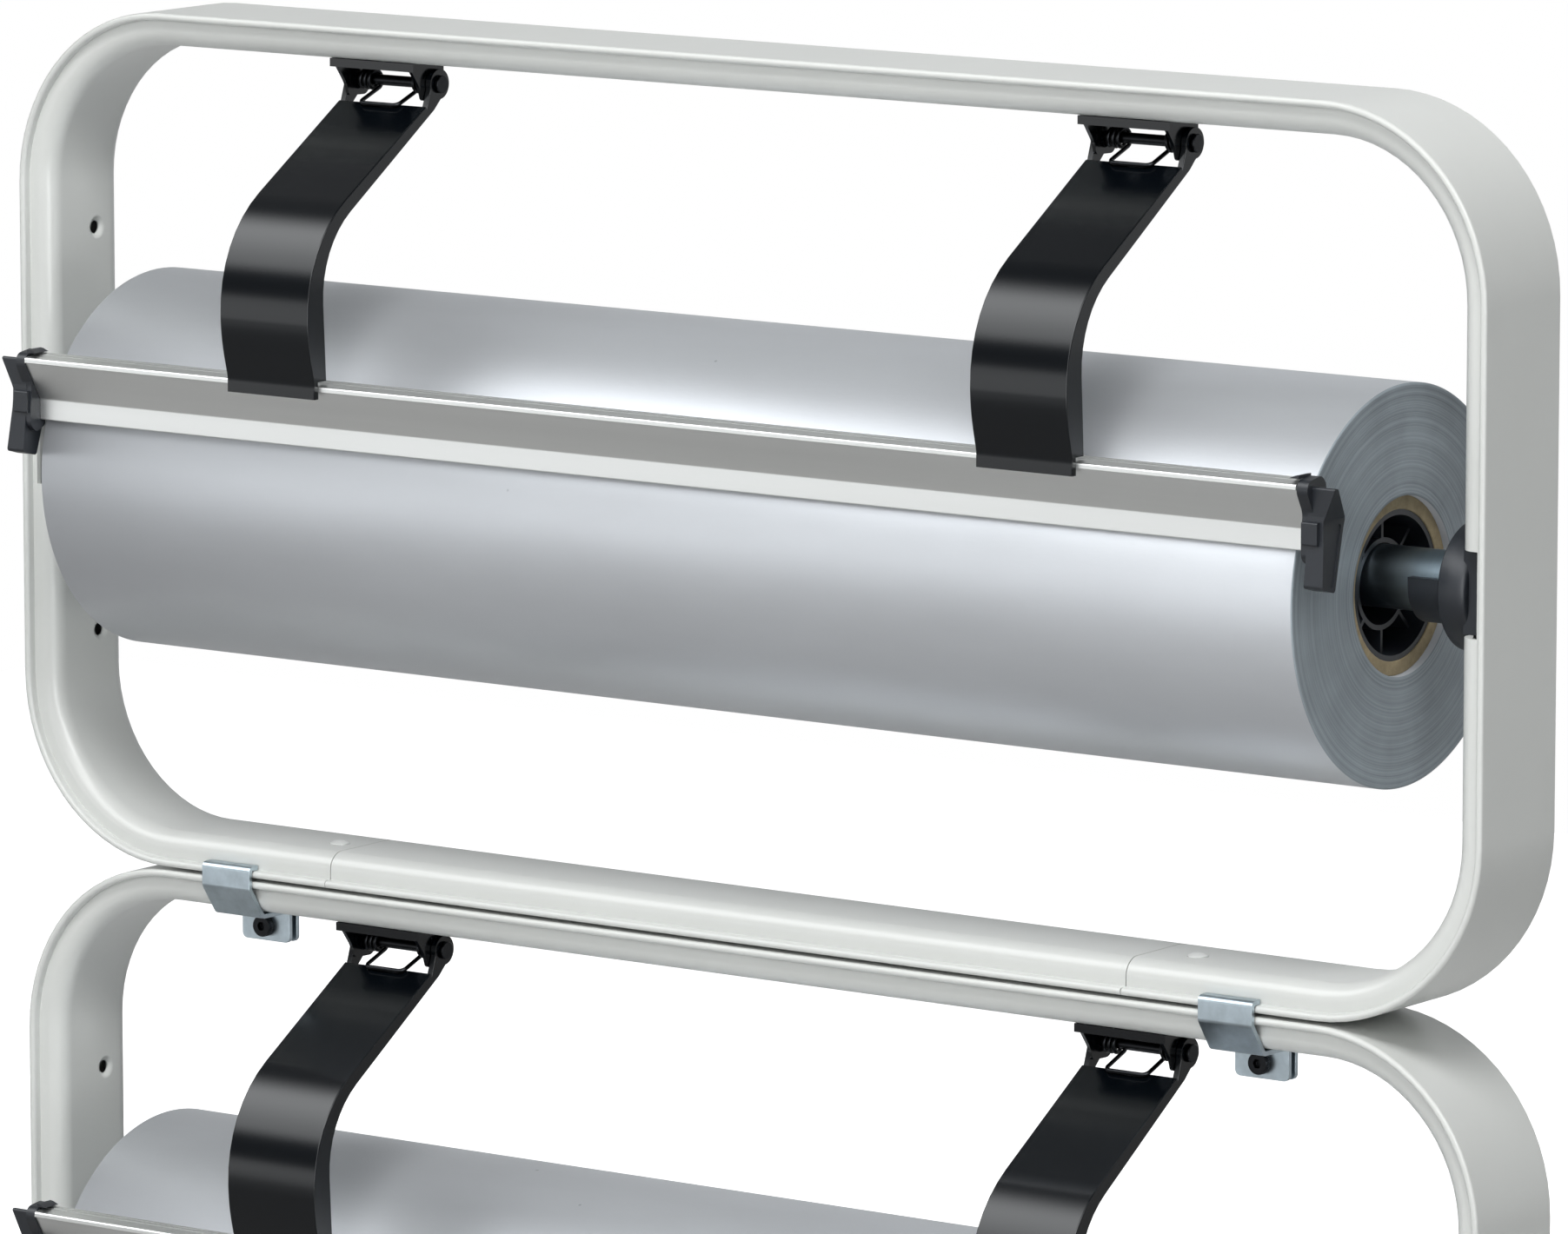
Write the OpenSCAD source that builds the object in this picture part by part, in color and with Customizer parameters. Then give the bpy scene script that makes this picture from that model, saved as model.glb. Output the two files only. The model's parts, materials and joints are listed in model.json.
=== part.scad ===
// Two-tier paper roll dispenser: two bent aluminium frames, one above the other, held
// together by two clamps. Each frame carries a paper roll on a steel tube and a tear bar on
// two sprung steel arms that hang from the top of the frame.
// Origin: middle of the flat underside of the lower frame. +X right, +Y back, +Z up.

/* [Frame] */
// Height of one frame
frame_h = 290; // [280:1:380]
// Depth of the frame's section, front to back
frame_d = 44; // [40:0.5:60]
// Outer radius of the frame's corners
corner_r = 61; // [40:1:90]
// Thickness of the section, from its outer face to the opening
section_t = 11.5; // [10:0.1:16]
// Wall of the hollow section
section_wall = 1.8; // [1.2:0.1:2.2]
// Thickness of the round bead along the section's outer edges
bead_t = 2.5; // [2:0.1:3.2]
// How far the groove beside the bead is set back
groove_depth = 3.2; // [2:0.1:4]
// Space between the two frames
tier_gap = 1.2; // [0.6:0.1:4]

/* [Joiner and screw holes] */
// Visible length of the straight piece that closes the bottom bar, as a share of the roll's length
joiner_share = 0.644; // [0.4:0.002:0.7]
// How far the joiner lies right of the middle
joiner_x = -2; // [-10:0.5:10]
// Length of the joiner's tongue inside each end of the bent tube
spigot_len = 30; // [20:1:45]
// Diameter of the joiner's rivets
rivet_d = 4; // [3:0.1:5]
// Distance from the joiner's left end to the rivet beside it
rivet_left_in = 9; // [6:0.5:16]
// Distance from the joiner's right end to the rivet beside it
rivet_right_in = 16; // [6:0.5:16]
// Diameter of the fixing holes in the legs
hole_d = 4.5; // [3.5:0.1:5.5]
// Diameter of the countersink round each fixing hole
sink_d = 8.5; // [6.5:0.1:10]
// Depth of that countersink
sink_depth = 1.2; // [0.6:0.1:1.4]
// Distance between the two fixing holes of a leg
hole_pitch = 138.5; // [80:0.5:170]

/* [Roll] */
// Length of the paper roll
roll_len = 500; // [420:5:900]
// Diameter of the full paper roll
roll_d = 128; // [80:1:150]
// How far the roll lies right of the middle
roll_x = -3; // [-5:0.5:3]
// Outer diameter of the cardboard core
core_d = 57; // [50:0.5:70]
// Wall of the cardboard core
core_wall = 4.5; // [2:0.1:6]
// How far the core's ends lie inside the roll
core_recess = 2.5; // [0:0.1:6]
// Length of the plug in each end of the core
plug_len = 25; // [15:1:40]
// Bore of the plug's hub
hub_bore = 26; // [23:0.1:30]
// Diameter of the tube that carries the roll
axle_d = 20; // [16:0.5:22]
// Wall of that tube
axle_wall = 1.5; // [1:0.1:2.5]

/* [Roll holder] */
// Room between the roll and the outside of the frame
side_room = 43; // [43:0.5:60]
// Diameter of the holder's round plate
disc_d = 41; // [34:0.5:48]
// Distance from the holder's plate to the frame's leg
disc_depth = 9.2; // [6:0.1:12]
// Length of the saddle that the tube lies in
saddle_len = 15.5; // [8:0.5:20]
// Wall of the saddle
saddle_wall = 2.8; // [2:0.1:4]
// Height of the notch in the leg
notch_h = 27.3; // [20:0.1:34]
// Width of the strip of leg left beside the notch
notch_strip = 4.3; // [3:0.1:5]

/* [Tear bar] */
// How far the tear bar reaches past each end of the roll
bar_over = 3.2; // [0:0.1:8]
// Thickness of the tear bar's flange
bar_t = 2.2; // [1.5:0.1:3]
// Height of the lower flange that presses on the paper
bar_flange_h = 7.2; // [4:0.1:12]
// How far the lip stands in front of the flange
bar_lip_out = 7.9; // [6:0.1:10]
// Height of the lip's underside above the bar's lower edge
bar_lip_z = 19.9; // [16:0.1:24]
// Height of the lip's front
bar_lip_h = 1.3; // [1.2:0.1:3]

/* [Arms] */
// Width of an arm
arm_w = 36.6; // [30:0.1:46]
// Distance between the middles of the two arms, as a share of the roll's length
arm_share = 0.6; // [0.5:0.01:0.66]
// How far the arms lie right of the middle
arm_x = 3.5; // [-10:0.5:10]
// Thickness of the arm's sheet
arm_t = 2; // [1.5:0.1:2.5]
// Slope of the arm's upper part below the horizontal
arm_slope = 32; // [28:0.5:38]
// Radius of the arm's bend
arm_bend_r = 44; // [30:1:50]
// Depth of the arm's side flanges at the bottom
arm_depth = 6.3; // [5:0.1:8]
// Diameter of the hinge pins
pin_d = 3.6; // [3:0.1:4]
// Thickness of the hinge bracket's sheet
bracket_t = 2; // [1.5:0.1:2.4]
// Thickness of the bracket's two ears
ear_t = 1.2; // [1:0.1:2]
// Wire of the torsion springs
wire_d = 1.4; // [1:0.1:1.5]
// Whole turns in each half of a torsion spring
spring_turns = 3; // [2:1:4]

/* [Link clamps] */
// Width of a clamp
clip_w = 20.4; // [14:0.2:26]
// Thickness of the clamp's sheet
clip_t = 1.6; // [1.2:0.1:1.8]
// Room between the left hinge bracket and the left clamp
clip_room_left = 29.4; // [5:0.1:40]
// Room between the right hinge bracket and the right clamp
clip_room_right = 18.8; // [5:0.1:30]
// Thread of the clamp's screw
clamp_screw_d = 4; // [3:0.5:4]

/* [Fits] */
// Gap between parts that don't touch
gap = 0.3; // [0.2:0.05:0.4]
// Radial running gap of the hinge pins
run_gap = 0.05; // [0.02:0.01:0.1]
// Gap of parts that are pushed or cast together
push_gap = 0.1; // [0.05:0.01:0.15]

/* [Hidden] */
// Small overrun that lets a cut pass a face
over = 1;
// Steps of a round stretch in an outline
steps = 8;
$fn = 64;

frame_w = roll_len + 2 * side_room;
joiner_len = joiner_share * roll_len;
half_w = frame_w / 2;
half_h = frame_h / 2;
front = -frame_d / 2;
pitch_z = frame_h + tier_gap;
tier_z = [half_h, half_h + pitch_z];
web_z = half_h - section_t;
leg_x = half_w - section_t;

// Section of the frame
groove_end = 5.8;
band_t = section_t - groove_end;
band_b = 6.3;
band_y = -front - groove_depth - band_b;

// Holes and rivets of the frame
hole_y = 5.8;
hole_mid_z = -2.4;
rivet_y = -2;
bracket_screw_x = 7;
bracket_screw_y = -8;
bracket_screw_d = 3;

// Roll: its hubs hang on the tube, so that its axis lies below the tube's
axle_y = 4.5;
axle_z = -6.2;
roll_r = roll_d / 2;
axle_r = axle_d / 2;
roll_z = axle_z - (hub_bore / 2 - axle_r - gap);
disc_x = leg_x - disc_depth;
notch_mid = axle_z + 0.8;
notch_back = 12;

// Hinge: the pins lie this far below the frame's top bar
pin_y = -1.2;
pin_drop = 7.7;
pin_z = web_z - pin_drop;
pin_r = pin_d / 2;
pin_boss_r = 5;

// Tear bar: its lower edge rests on the full roll, this far above the roll's axis
bar_rise = 19.2;
bar_z = roll_z + bar_rise;
bar_y = axle_y - sqrt((roll_r + gap) ^ 2 - bar_rise ^ 2);
bar_half = roll_len / 2 + bar_over;
lip_y = bar_y - bar_t - bar_lip_out;
lip_top = bar_lip_z + bar_lip_h;
bar_rise_back = 1.8;
bar_top = lip_top + bar_rise_back;

// Arm: upper end of its plate, bend and lower end, seen from the side
arm_spacing = arm_share * roll_len;
bracket_w = arm_w - 1.6;
arm_top = [pin_y - 7.7, pin_z - 6.9];
arm_foot = [lip_y - arm_t, bar_z + bar_lip_z - 2.3];
arm_knee_y = arm_foot[0] - 4.2;
arm_knee = [arm_knee_y, arm_top[1] - (arm_top[0] - arm_knee_y) * tan(arm_slope)];
arm_belly = [arm_foot[0] - 3.2, arm_foot[1] + 18];
arm_flange_end = bar_z + bar_top + gap;
ear_x = arm_w / 2 - arm_t - gap;
rivet_row = 10;
bar_rivet_d = 1.4;
arm_rivet_z = bar_z + bar_lip_z + bar_rivet_d / 2 + push_gap;
lip_t = 2.2;

// Torsion spring, in the hinge's own frame: x along the pin, origin on the pin's axis
coil_r = pin_r + 0.45 + wire_d / 2;
coil_pitch = wire_d + 0.45;
leg_over = 2;
leg_reach = norm(arm_top - [pin_y, pin_z]);
leg_room = coil_r + wire_d / 2 + push_gap;
leg_angle = 360 + atan2(arm_top[1] - pin_z, arm_top[0] - pin_y) + acos(leg_room / leg_reach);
leg_dir = [sin(leg_angle), -cos(leg_angle)];
bight = coil_point(leg_angle) + (sqrt(leg_reach ^ 2 - leg_room ^ 2) + leg_over) * leg_dir;
tail_angle = 340;
coil_sweep = tail_angle - leg_angle + 360 * spring_turns;
coil_start = ear_x - ear_t - gap - wire_d / 2;
coil_end = coil_start - coil_pitch * coil_sweep / 360;
tail_top = pin_drop - bracket_t - gap - wire_d / 2;
bight_r = 2.2;

// Clamps: their places beside the hinge brackets, then seen from the side with z = 0 between the two frames
clip_left = arm_spacing / 2 - arm_x + bracket_w / 2 + clip_room_left + clip_w / 2;
clip_right = arm_spacing / 2 + arm_x + bracket_w / 2 + clip_room_right + clip_w / 2;
link_z = frame_h + tier_gap / 2;
hook_z = tier_gap / 2 + bead_t + push_gap + clip_t;
clip_y = front - gap - 0.3 - clip_t;
tab_gap = 2.2;
tab_y = tab_gap / 2 + clip_t;
under_z = -(tier_gap / 2 + section_t + gap + clip_t);
tab_z = under_z - 10.5;
clamp_z = under_z - 5.3;
tab_r = 2;
clamp_head_d = clamp_screw_d * 1.75;
clamp_head_h = clamp_screw_d * 0.7;
nut_h = clamp_screw_d * 0.8;
nut_across = clamp_screw_d * 1.75;

function unit(v) = v / norm(v);

// Points of the arc that rounds the corner b between a and c
function corner_arc(a, b, c, r) =
    let (
        u = unit(a - b),
        w = unit(c - b),
        half = acos(u * w) / 2,
        centre = b + unit(u + w) * r / sin(half),
        p = b + u * r / tan(half) - centre,
        q = b + w * r / tan(half) - centre,
        start = atan2(p[1], p[0]),
        turn = atan2(q[1], q[0]) - start,
        sweep = turn > 180 ? turn - 360 : turn < -180 ? turn + 360 : turn
    )
    [for (i = [0:steps]) centre + r * [cos(start + sweep * i / steps), sin(start + sweep * i / steps)]];

function flat(v) = [v[0], v[1]];

// Closed outline from corners [x, y, radius]; a corner without a radius stays sharp
function rounded(c) =
    let (n = len(c))
    [for (i = [0:n - 1])
        for (p = len(c[i]) < 3 ? [flat(c[i])]
            : corner_arc(flat(c[(i + n - 1) % n]), flat(c[i]), flat(c[(i + 1) % n]), c[i][2]))
            p];

// Open path from corners [x, y, radius]
function rounded_path(c) =
    let (n = len(c))
    [for (i = [0:n - 1])
        for (p = i == 0 || i == n - 1 || len(c[i]) < 3 ? [flat(c[i])]
            : corner_arc(flat(c[i - 1]), flat(c[i]), flat(c[i + 1]), c[i][2]))
            p];

function rivet_off(s) = s < 0 ? -rivet_left_in : rivet_right_in;

function left_of(v) = [-v[1], v[0]];

// A path moved sideways by d, to its left
function beside(path, d) =
    let (n = len(path))
    [for (i = [0:n - 1])
        let (
            a = unit(left_of(path[min(i + 1, n - 1)] - path[max(i, 1) - (i == n - 1 ? 0 : 1)])),
            before = i == 0 ? left_of(path[1] - path[0]) : left_of(path[i] - path[i - 1]),
            after = i == n - 1 ? before : left_of(path[i + 1] - path[i]),
            mid = unit(unit(before) + unit(after))
        )
        path[i] + d / (mid * unit(after)) * mid];

// Strip of sheet of thickness t on the left of a path
function strip(path, t) = concat(path, [for (i = [len(path) - 1:-1:0]) beside(path, t)[i]]);

function reversed(v) = [for (i = [len(v) - 1:-1:0]) v[i]];

// Extrudes an outline drawn as [y, z] along X
module along_x(length) {
    rotate([90, 0, 90])
        linear_extrude(length, center = true)
            children();
}

module at_tier(tier) {
    translate([0, 0, tier_z[tier]])
        children();
}

// Half of the section's outline, as [distance from the outer face, distance to the front]
function half_section(s) = concat(
    [for (i = [0:steps])
        [bead_t / 2 - bead_t / 2 * cos(180 * i / steps),
         s * (-front - bead_t / 2 + bead_t / 2 * sin(180 * i / steps))]],
    [[bead_t, s * (-front - groove_depth)]],
    [for (i = [0:steps])
        [groove_end + band_t * sin(90 * i / steps), s * (band_y + band_b * cos(90 * i / steps))]]
);

// Hollow section of the frame at distance r from the centre of a bend
module frame_section(r) {
    outer = concat(half_section(1), reversed(half_section(-1)));
    inner_y = -front - groove_depth - section_wall;
    inner_top = section_t - section_wall;
    inner_bend = groove_end + 1;
    inner = concat(
        [[section_wall, inner_y], [inner_bend, inner_y], [inner_top, band_y - 0.5]],
        [[inner_top, -band_y + 0.5], [inner_bend, -inner_y], [section_wall, -inner_y]]
    );
    difference() {
        polygon([for (p = outer) [r - p[0], p[1]]]);
        polygon([for (p = inner) [r - p[0], p[1]]]);
    }
}

// One straight side of the frame that ends at a bend
module frame_side(length) {
    rotate([90, 0, 0])
        linear_extrude(length)
            frame_section(corner_r);
}

module frame_bend() {
    rotate_extrude(angle = 90, $fn = 96)
        frame_section(corner_r);
}

module leg_hole(z) {
    translate([-leg_x + over, hole_y, z])
        rotate([0, -90, 0]) {
            cylinder(d = hole_d, h = section_wall + 2 * over);
            translate([0, 0, over - 0.01])
                cylinder(d1 = sink_d, d2 = hole_d, h = sink_depth);
            cylinder(d = sink_d, h = over);
        }
}

module leg_holes() {
    for (s = [-1, 1])
        leg_hole(hole_mid_z + s * hole_pitch / 2);
}

module leg_notch() {
    depth = section_t - notch_strip + over;
    translate([leg_x - over, front - over, notch_mid - notch_h / 2])
        cube([depth, notch_back - front + over, notch_h]);
}

module frame_hoop() {
    spots = [[1, 1], [-1, 1], [-1, -1], [1, -1]];
    color("gainsboro")
        difference() {
            rotate([90, 0, 0])
                for (k = [0:3])
                    translate([spots[k][0] * (half_w - corner_r), spots[k][1] * (half_h - corner_r), 0])
                        rotate([0, 0, 90 * k]) {
                            frame_bend();
                            frame_side((k % 2 == 0 ? frame_h : frame_w) - 2 * corner_r);
                        }
            translate([joiner_x - joiner_len / 2, front - over, -half_h - over])
                cube([joiner_len, frame_d + 2 * over, section_t + 2 * over]);
            for (s = [-1, 1])
                translate([joiner_x + s * joiner_len / 2 + rivet_off(s), rivet_y, -half_h + section_t / 2])
                    cylinder(d = rivet_d, h = section_t);
            leg_holes();
            mirror([1, 0, 0])
                leg_holes();
            leg_notch();
            mirror([1, 0, 0])
                leg_notch();
            for (s = [-1, 1])
                for (t = [-1, 1])
                    translate([arm_x + s * arm_spacing / 2 + t * bracket_screw_x, bracket_screw_y, web_z - over])
                        cylinder(d = bracket_screw_d, h = section_wall + 2 * over);
        }
}

module frame_joiner() {
    spigot_y = band_y - 0.5 - gap;
    spigot_low = section_wall + push_gap;
    spigot_high = section_t - section_wall - push_gap;
    color("gainsboro")
        translate([joiner_x, 0, -half_h])
            difference() {
                union() {
                    along_x(joiner_len - 2 * push_gap)
                        rotate(-90)
                            frame_section(0);
                    for (s = [-1, 1]) {
                        translate([s * joiner_len / 2 - spigot_len, -spigot_y, spigot_low])
                            cube([2 * spigot_len, 2 * spigot_y, spigot_high - spigot_low]);
                        translate([s * (joiner_len - spigot_len) / 2 - spigot_len / 3, -spigot_y, section_wall / 2])
                            cube([spigot_len * 2 / 3, 2 * spigot_y, section_t - section_wall]);
                    }
                }
                for (s = [-1, 1])
                    translate([s * joiner_len / 2 + rivet_off(s), rivet_y, section_t / 2])
                        cylinder(d = rivet_d, h = section_t);
            }
}

module joiner_rivets() {
    head_r = rivet_d * 0.9;
    head_h = 1.2;
    ball_r = (head_r ^ 2 + head_h ^ 2) / (2 * head_h);
    color("whitesmoke")
        for (s = [-1, 1])
            translate([joiner_x + s * joiner_len / 2 + rivet_off(s), rivet_y, -web_z])
                rotate_extrude() {
                    polygon(concat(
                        [[0, 0]],
                        [for (i = [0:steps])
                            let (a = asin(head_r / ball_r) * (1 - i / steps))
                            [ball_r * sin(a), ball_r * cos(a) - ball_r + head_h]]
                    ));
                    translate([0, -section_t / 2 + section_wall])
                        square([rivet_d / 2 - run_gap, section_t / 2 - section_wall]);
                }
}

// Right roll holder: a domed plate against the leg, with the tube's saddle on its flat face
module roll_holder() {
    disc_r = disc_d / 2;
    bore_r = axle_r + 0.2;
    saddle_r = bore_r + saddle_wall;
    saddle_rim = 2.7;
    lug = 2;
    plug_depth = section_t - notch_strip - push_gap;
    block_front = axle_y - disc_r + 4;
    color("dimgray")
        difference() {
            union() {
                translate([disc_x, axle_y, axle_z])
                    rotate([0, 90, 0])
                        rotate_extrude($fn = 96)
                            polygon(concat(
                                [[0, 0], [disc_r - 0.4, 0], [disc_r, 0.4]],
                                [for (i = [0:steps])
                                    [disc_r - 5 * (1 - cos(70 * i / steps)),
                                     1 + (disc_depth - 1 - push_gap) * sin(90 * i / steps)]],
                                [[0, disc_depth - push_gap]]
                            ));
                translate([leg_x - 2, block_front, notch_mid - notch_h / 2 + push_gap])
                    cube([plug_depth + 2, notch_back - push_gap - block_front, notch_h - 2 * push_gap]);
                translate([leg_x + section_wall + push_gap, -band_y + 2, notch_mid - notch_h / 2 - lug])
                    cube([plug_depth - section_wall - push_gap, 2 * band_y - 4, notch_h + 2 * lug]);
                translate([disc_x - saddle_len, axle_y, axle_z])
                    rotate([0, 90, 0])
                        cylinder(r = saddle_r, h = saddle_len + over);
                translate([disc_x - saddle_len, axle_y - saddle_r, axle_z])
                    cube([saddle_len + over, 2 * saddle_r, saddle_rim]);
            }
            translate([disc_x - saddle_len - over, axle_y, axle_z])
                rotate([0, 90, 0])
                    cylinder(r = bore_r, h = saddle_len + over);
            translate([disc_x - saddle_len - over, axle_y - bore_r, axle_z])
                cube([saddle_len + over, 2 * bore_r, saddle_r + over]);
            translate([disc_x - saddle_len - over, axle_y - saddle_r - over, axle_z + saddle_rim])
                cube([saddle_len + over, 2 * (saddle_r + over), saddle_r]);
        }
}

module axle_tube() {
    color("silver")
        translate([0, axle_y, axle_z])
            rotate([0, 90, 0])
                difference() {
                    cylinder(r = axle_r, h = 2 * (disc_x - gap), center = true);
                    cylinder(r = axle_r - axle_wall, h = frame_w, center = true);
                }
}

module on_roll_axis() {
    translate([roll_x, axle_y, roll_z])
        rotate([0, 90, 0])
            children();
}

module paper_roll() {
    color("lightsteelblue")
        on_roll_axis()
            difference() {
                cylinder(r = roll_r, h = roll_len, center = true, $fn = 128);
                cylinder(r = core_d / 2 + run_gap, h = roll_len + 2 * over, center = true);
            }
}

core_half = roll_len / 2 - core_recess;
plug_r = core_d / 2 - core_wall - run_gap;

module roll_core() {
    color("tan")
        on_roll_axis()
            difference() {
                cylinder(d = core_d, h = 2 * core_half, center = true);
                cylinder(r = core_d / 2 - core_wall, h = roll_len, center = true);
            }
}

// Right core plug: a ring in the core, a hub round the tube, and ribs between them
module core_plug() {
    ring_wall = 1.8;
    hub_r = hub_bore / 2;
    hub_wall = 1.6;
    rib_t = 1.2;
    rib_recess = 5;
    plate_t = 2;
    ribs = 8;
    color("black")
        translate([roll_x + core_half - 0.5, axle_y, roll_z])
            rotate([0, -90, 0])
                difference() {
                    union() {
                        difference() {
                            cylinder(r = plug_r, h = plug_len);
                            translate([0, 0, -over])
                                cylinder(r = plug_r - ring_wall, h = plug_len + 2 * over);
                        }
                        translate([0, 0, rib_recess])
                            cylinder(r = hub_r + hub_wall, h = plug_len - rib_recess);
                        translate([0, 0, plug_len - plate_t])
                            cylinder(r = plug_r - ring_wall / 2, h = plate_t);
                        for (k = [0:ribs - 1])
                            rotate([0, 0, 360 * k / ribs])
                                translate([hub_r, -rib_t / 2, rib_recess])
                                    cube([plug_r - hub_r - ring_wall / 2, rib_t, plug_len - rib_recess]);
                    }
                    translate([0, 0, -over])
                        cylinder(r = hub_r, h = plug_len + 2 * over);
                }
}

// Tear bar, drawn as [y, z] from the back of its lower edge
function bar_outline() =
    let (
        face = -bar_t,
        lip = face - bar_lip_out,
        web = 1.8
    )
    rounded([
        [0, 0, 0.4],
        [face, 0, 0.4],
        [face, bar_flange_h, 1.5],
        [lip + 0.5, bar_lip_z, 0.3],
        [lip, bar_lip_z, 0.25],
        [lip, lip_top + 0.5, 0.8],
        [lip + 5, bar_top - 0.4, 4],
        [lip + 8, bar_top, 0.4],
        [lip + 8, bar_top - web, 0.4],
        [lip + lip_t, bar_top - web - 0.5, 0.8],
        [0, bar_flange_h + 0.8, 1.5]
    ]);

module tear_bar() {
    groove = 0.4;
    color("gainsboro")
        translate([0, bar_y, bar_z])
            difference() {
                along_x(2 * bar_half)
                    polygon(bar_outline());
                for (k = [4.2, 6.2])
                    translate([-bar_half - over, -bar_t - bar_lip_out + k, bar_top - 0.9])
                        cube([2 * (bar_half + over), groove, 2]);
                for (s = [-1, 1])
                    for (t = [-1, 1])
                        translate([arm_x + s * arm_spacing / 2 + t * rivet_row, lip_y - bar_y - over, arm_rivet_z - bar_z])
                            rotate([-90, 0, 0])
                                cylinder(d = bar_rivet_d, h = over + lip_t + push_gap, $fn = 32);
            }
}

module bar_rivets() {
    color("silver")
        for (s = [-1, 1])
            for (t = [-1, 1])
                translate([arm_x + s * arm_spacing / 2 + t * rivet_row, lip_y - arm_t / 2, arm_rivet_z])
                    rotate([-90, 0, 0])
                        cylinder(r = bar_rivet_d / 2 - run_gap, h = arm_t / 2 + lip_t, $fn = 32);
}

// Arm, drawn about its own middle
module arm() {
    foot_bend = arm_foot[1] + 5;
    path = rounded_path([
        arm_top,
        [arm_knee[0], arm_knee[1], arm_bend_r],
        [arm_belly[0], arm_belly[1], 60],
        [arm_foot[0], foot_bend, 12],
        arm_foot
    ]);
    back_knee = arm_knee + [arm_depth + 2, -1];
    back_foot = [arm_foot[0] + arm_depth, arm_flange_end];
    back_top = arm_top + [4.6, -1.4];
    back = rounded_path([back_top, [back_knee[0], back_knee[1], arm_bend_r - 11], back_foot]);
    middle = [for (i = [0:len(path) - 1]) beside(path, arm_t / 2)[i]];
    front_edge = [for (p = middle) if (p[1] > arm_flange_end) p];
    pin = [pin_y, pin_z];
    neck_r = pin_boss_r * 0.8;
    side_step = 0.1;
    neck = [pin + neck_r * [cos(150), sin(150)], pin + neck_r * [cos(-40), sin(-40)]];
    corner = [arm_foot[0] + arm_t / 2 - 0.1, arm_flange_end];
    color("#15181c")
        difference() {
            union() {
                along_x(arm_w)
                    polygon(strip(path, arm_t));
                for (s = [-1, 1])
                    translate([s * (arm_w - arm_t - side_step) / 2, 0, 0])
                        along_x(arm_t) {
                            polygon(concat(front_edge, [corner], reversed(back), reversed(neck)));
                            translate(pin)
                                circle(r = pin_boss_r);
                        }
            }
            translate([0, pin_y, pin_z])
                rotate([0, 90, 0])
                    cylinder(r = pin_r + run_gap, h = arm_w + 2 * over, center = true);
            for (t = [-1, 1])
                translate([t * rivet_row, arm_foot[0] + arm_t / 2, arm_rivet_z])
                    rotate([-90, 0, 0])
                        cylinder(d = bar_rivet_d, h = arm_t + over, $fn = 32);
        }
}

// Hinge bracket, drawn about its own middle: a plate under the top bar with two ears
module hinge_bracket() {
    plate_y = front + 8.5;
    plate_back = 5;
    ear = rounded([
        [plate_y - 0.5, web_z - bracket_t - 0.3],
        [plate_y + 0.3, pin_z + 4.6, 3],
        [pin_y - 7.6, pin_z - 1.2, 12],
        [pin_y - 6.4, pin_z - 5.2, 1.5],
        [pin_y + 3.8, pin_z - 5.5, 3],
        [pin_y + 5.2, pin_z + 1, 3],
        [plate_back - 1.2, web_z - bracket_t, 1],
        [plate_back - 1.2, web_z - bracket_t + 0.5],
        [plate_y - 0.5, web_z - bracket_t + 0.5]
    ]);
    color("#1b1e23")
        difference() {
            union() {
                translate([-bracket_w / 2, plate_y - 1, web_z - bracket_t])
                    cube([bracket_w, plate_back - plate_y, bracket_t]);
                translate([-bracket_w / 2, plate_y - 1, web_z - bracket_t - 0.8])
                    cube([bracket_w, 1.6, bracket_t]);
                for (s = [-1, 1])
                    translate([s * (ear_x - ear_t / 2), 0, 0])
                        along_x(ear_t)
                            polygon(ear);
            }
            translate([0, pin_y, pin_z])
                rotate([0, 90, 0])
                    cylinder(r = pin_r + run_gap, h = arm_w, center = true);
            for (t = [-1, 1])
                translate([t * bracket_screw_x, bracket_screw_y, web_z - bracket_t - over])
                    cylinder(d = bracket_screw_d, h = bracket_t + 2 * over);
        }
}

module bracket_screws() {
    head_h = 1.3;
    color("silver")
        for (s = [-1, 1])
            for (t = [-1, 1])
                translate([arm_x + s * arm_spacing / 2 + t * bracket_screw_x, bracket_screw_y,
                           web_z - bracket_t - head_h - run_gap])
                    difference() {
                        union() {
                            cylinder(r = bracket_screw_d * 0.9, h = head_h);
                            cylinder(r = bracket_screw_d / 2 - run_gap, h = head_h + bracket_t + section_wall + 2);
                        }
                        translate([0, 0, -over])
                            cylinder(d = 1.8, h = over + 0.8, $fn = 6);
                    }
}

// Hinge pin, drawn about the bracket's middle
module hinge_pin() {
    head_r = pin_r + 1.2;
    head_h = 1.1;
    color("#2a2d31")
        translate([0, pin_y, pin_z])
            rotate([0, 90, 0]) {
                cylinder(r = pin_r, h = arm_w + 2 * gap, center = true);
                for (s = [-1, 1])
                    translate([0, 0, s * (arm_w / 2 + gap + head_h / 2)])
                        cylinder(r = head_r, h = head_h, center = true);
            }
}

function coil_point(a) = [coil_r * cos(a), coil_r * sin(a)];

// Middle line of the right half of a spring, as [x, y, z] from the pin's middle
function spring_half() =
    let (
        n = ceil(coil_sweep / 45),
        tail_base = coil_point(tail_angle),
        tail_dir = [cos(tail_angle + 90), sin(tail_angle + 90)],
        tail_len = (tail_top - tail_base[1]) / tail_dir[1],
        tail = tail_base + tail_len * tail_dir,
        joint = coil_point(leg_angle),
        down = unit(bight - joint)
    )
    concat(
        [[coil_start, tail[0], tail[1]]],
        [for (i = [0:n])
            let (p = coil_point(tail_angle - coil_sweep * i / n))
            [coil_start + (coil_end - coil_start) * i / n, p[0], p[1]]],
        [for (i = [0:4])
            let (a = 22.5 * i, at = bight - bight_r * down)
            [coil_end - bight_r * (1 - cos(a)),
             at[0] + bight_r * sin(a) * down[0],
             at[1] + bight_r * sin(a) * down[1]]]
    );

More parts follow.
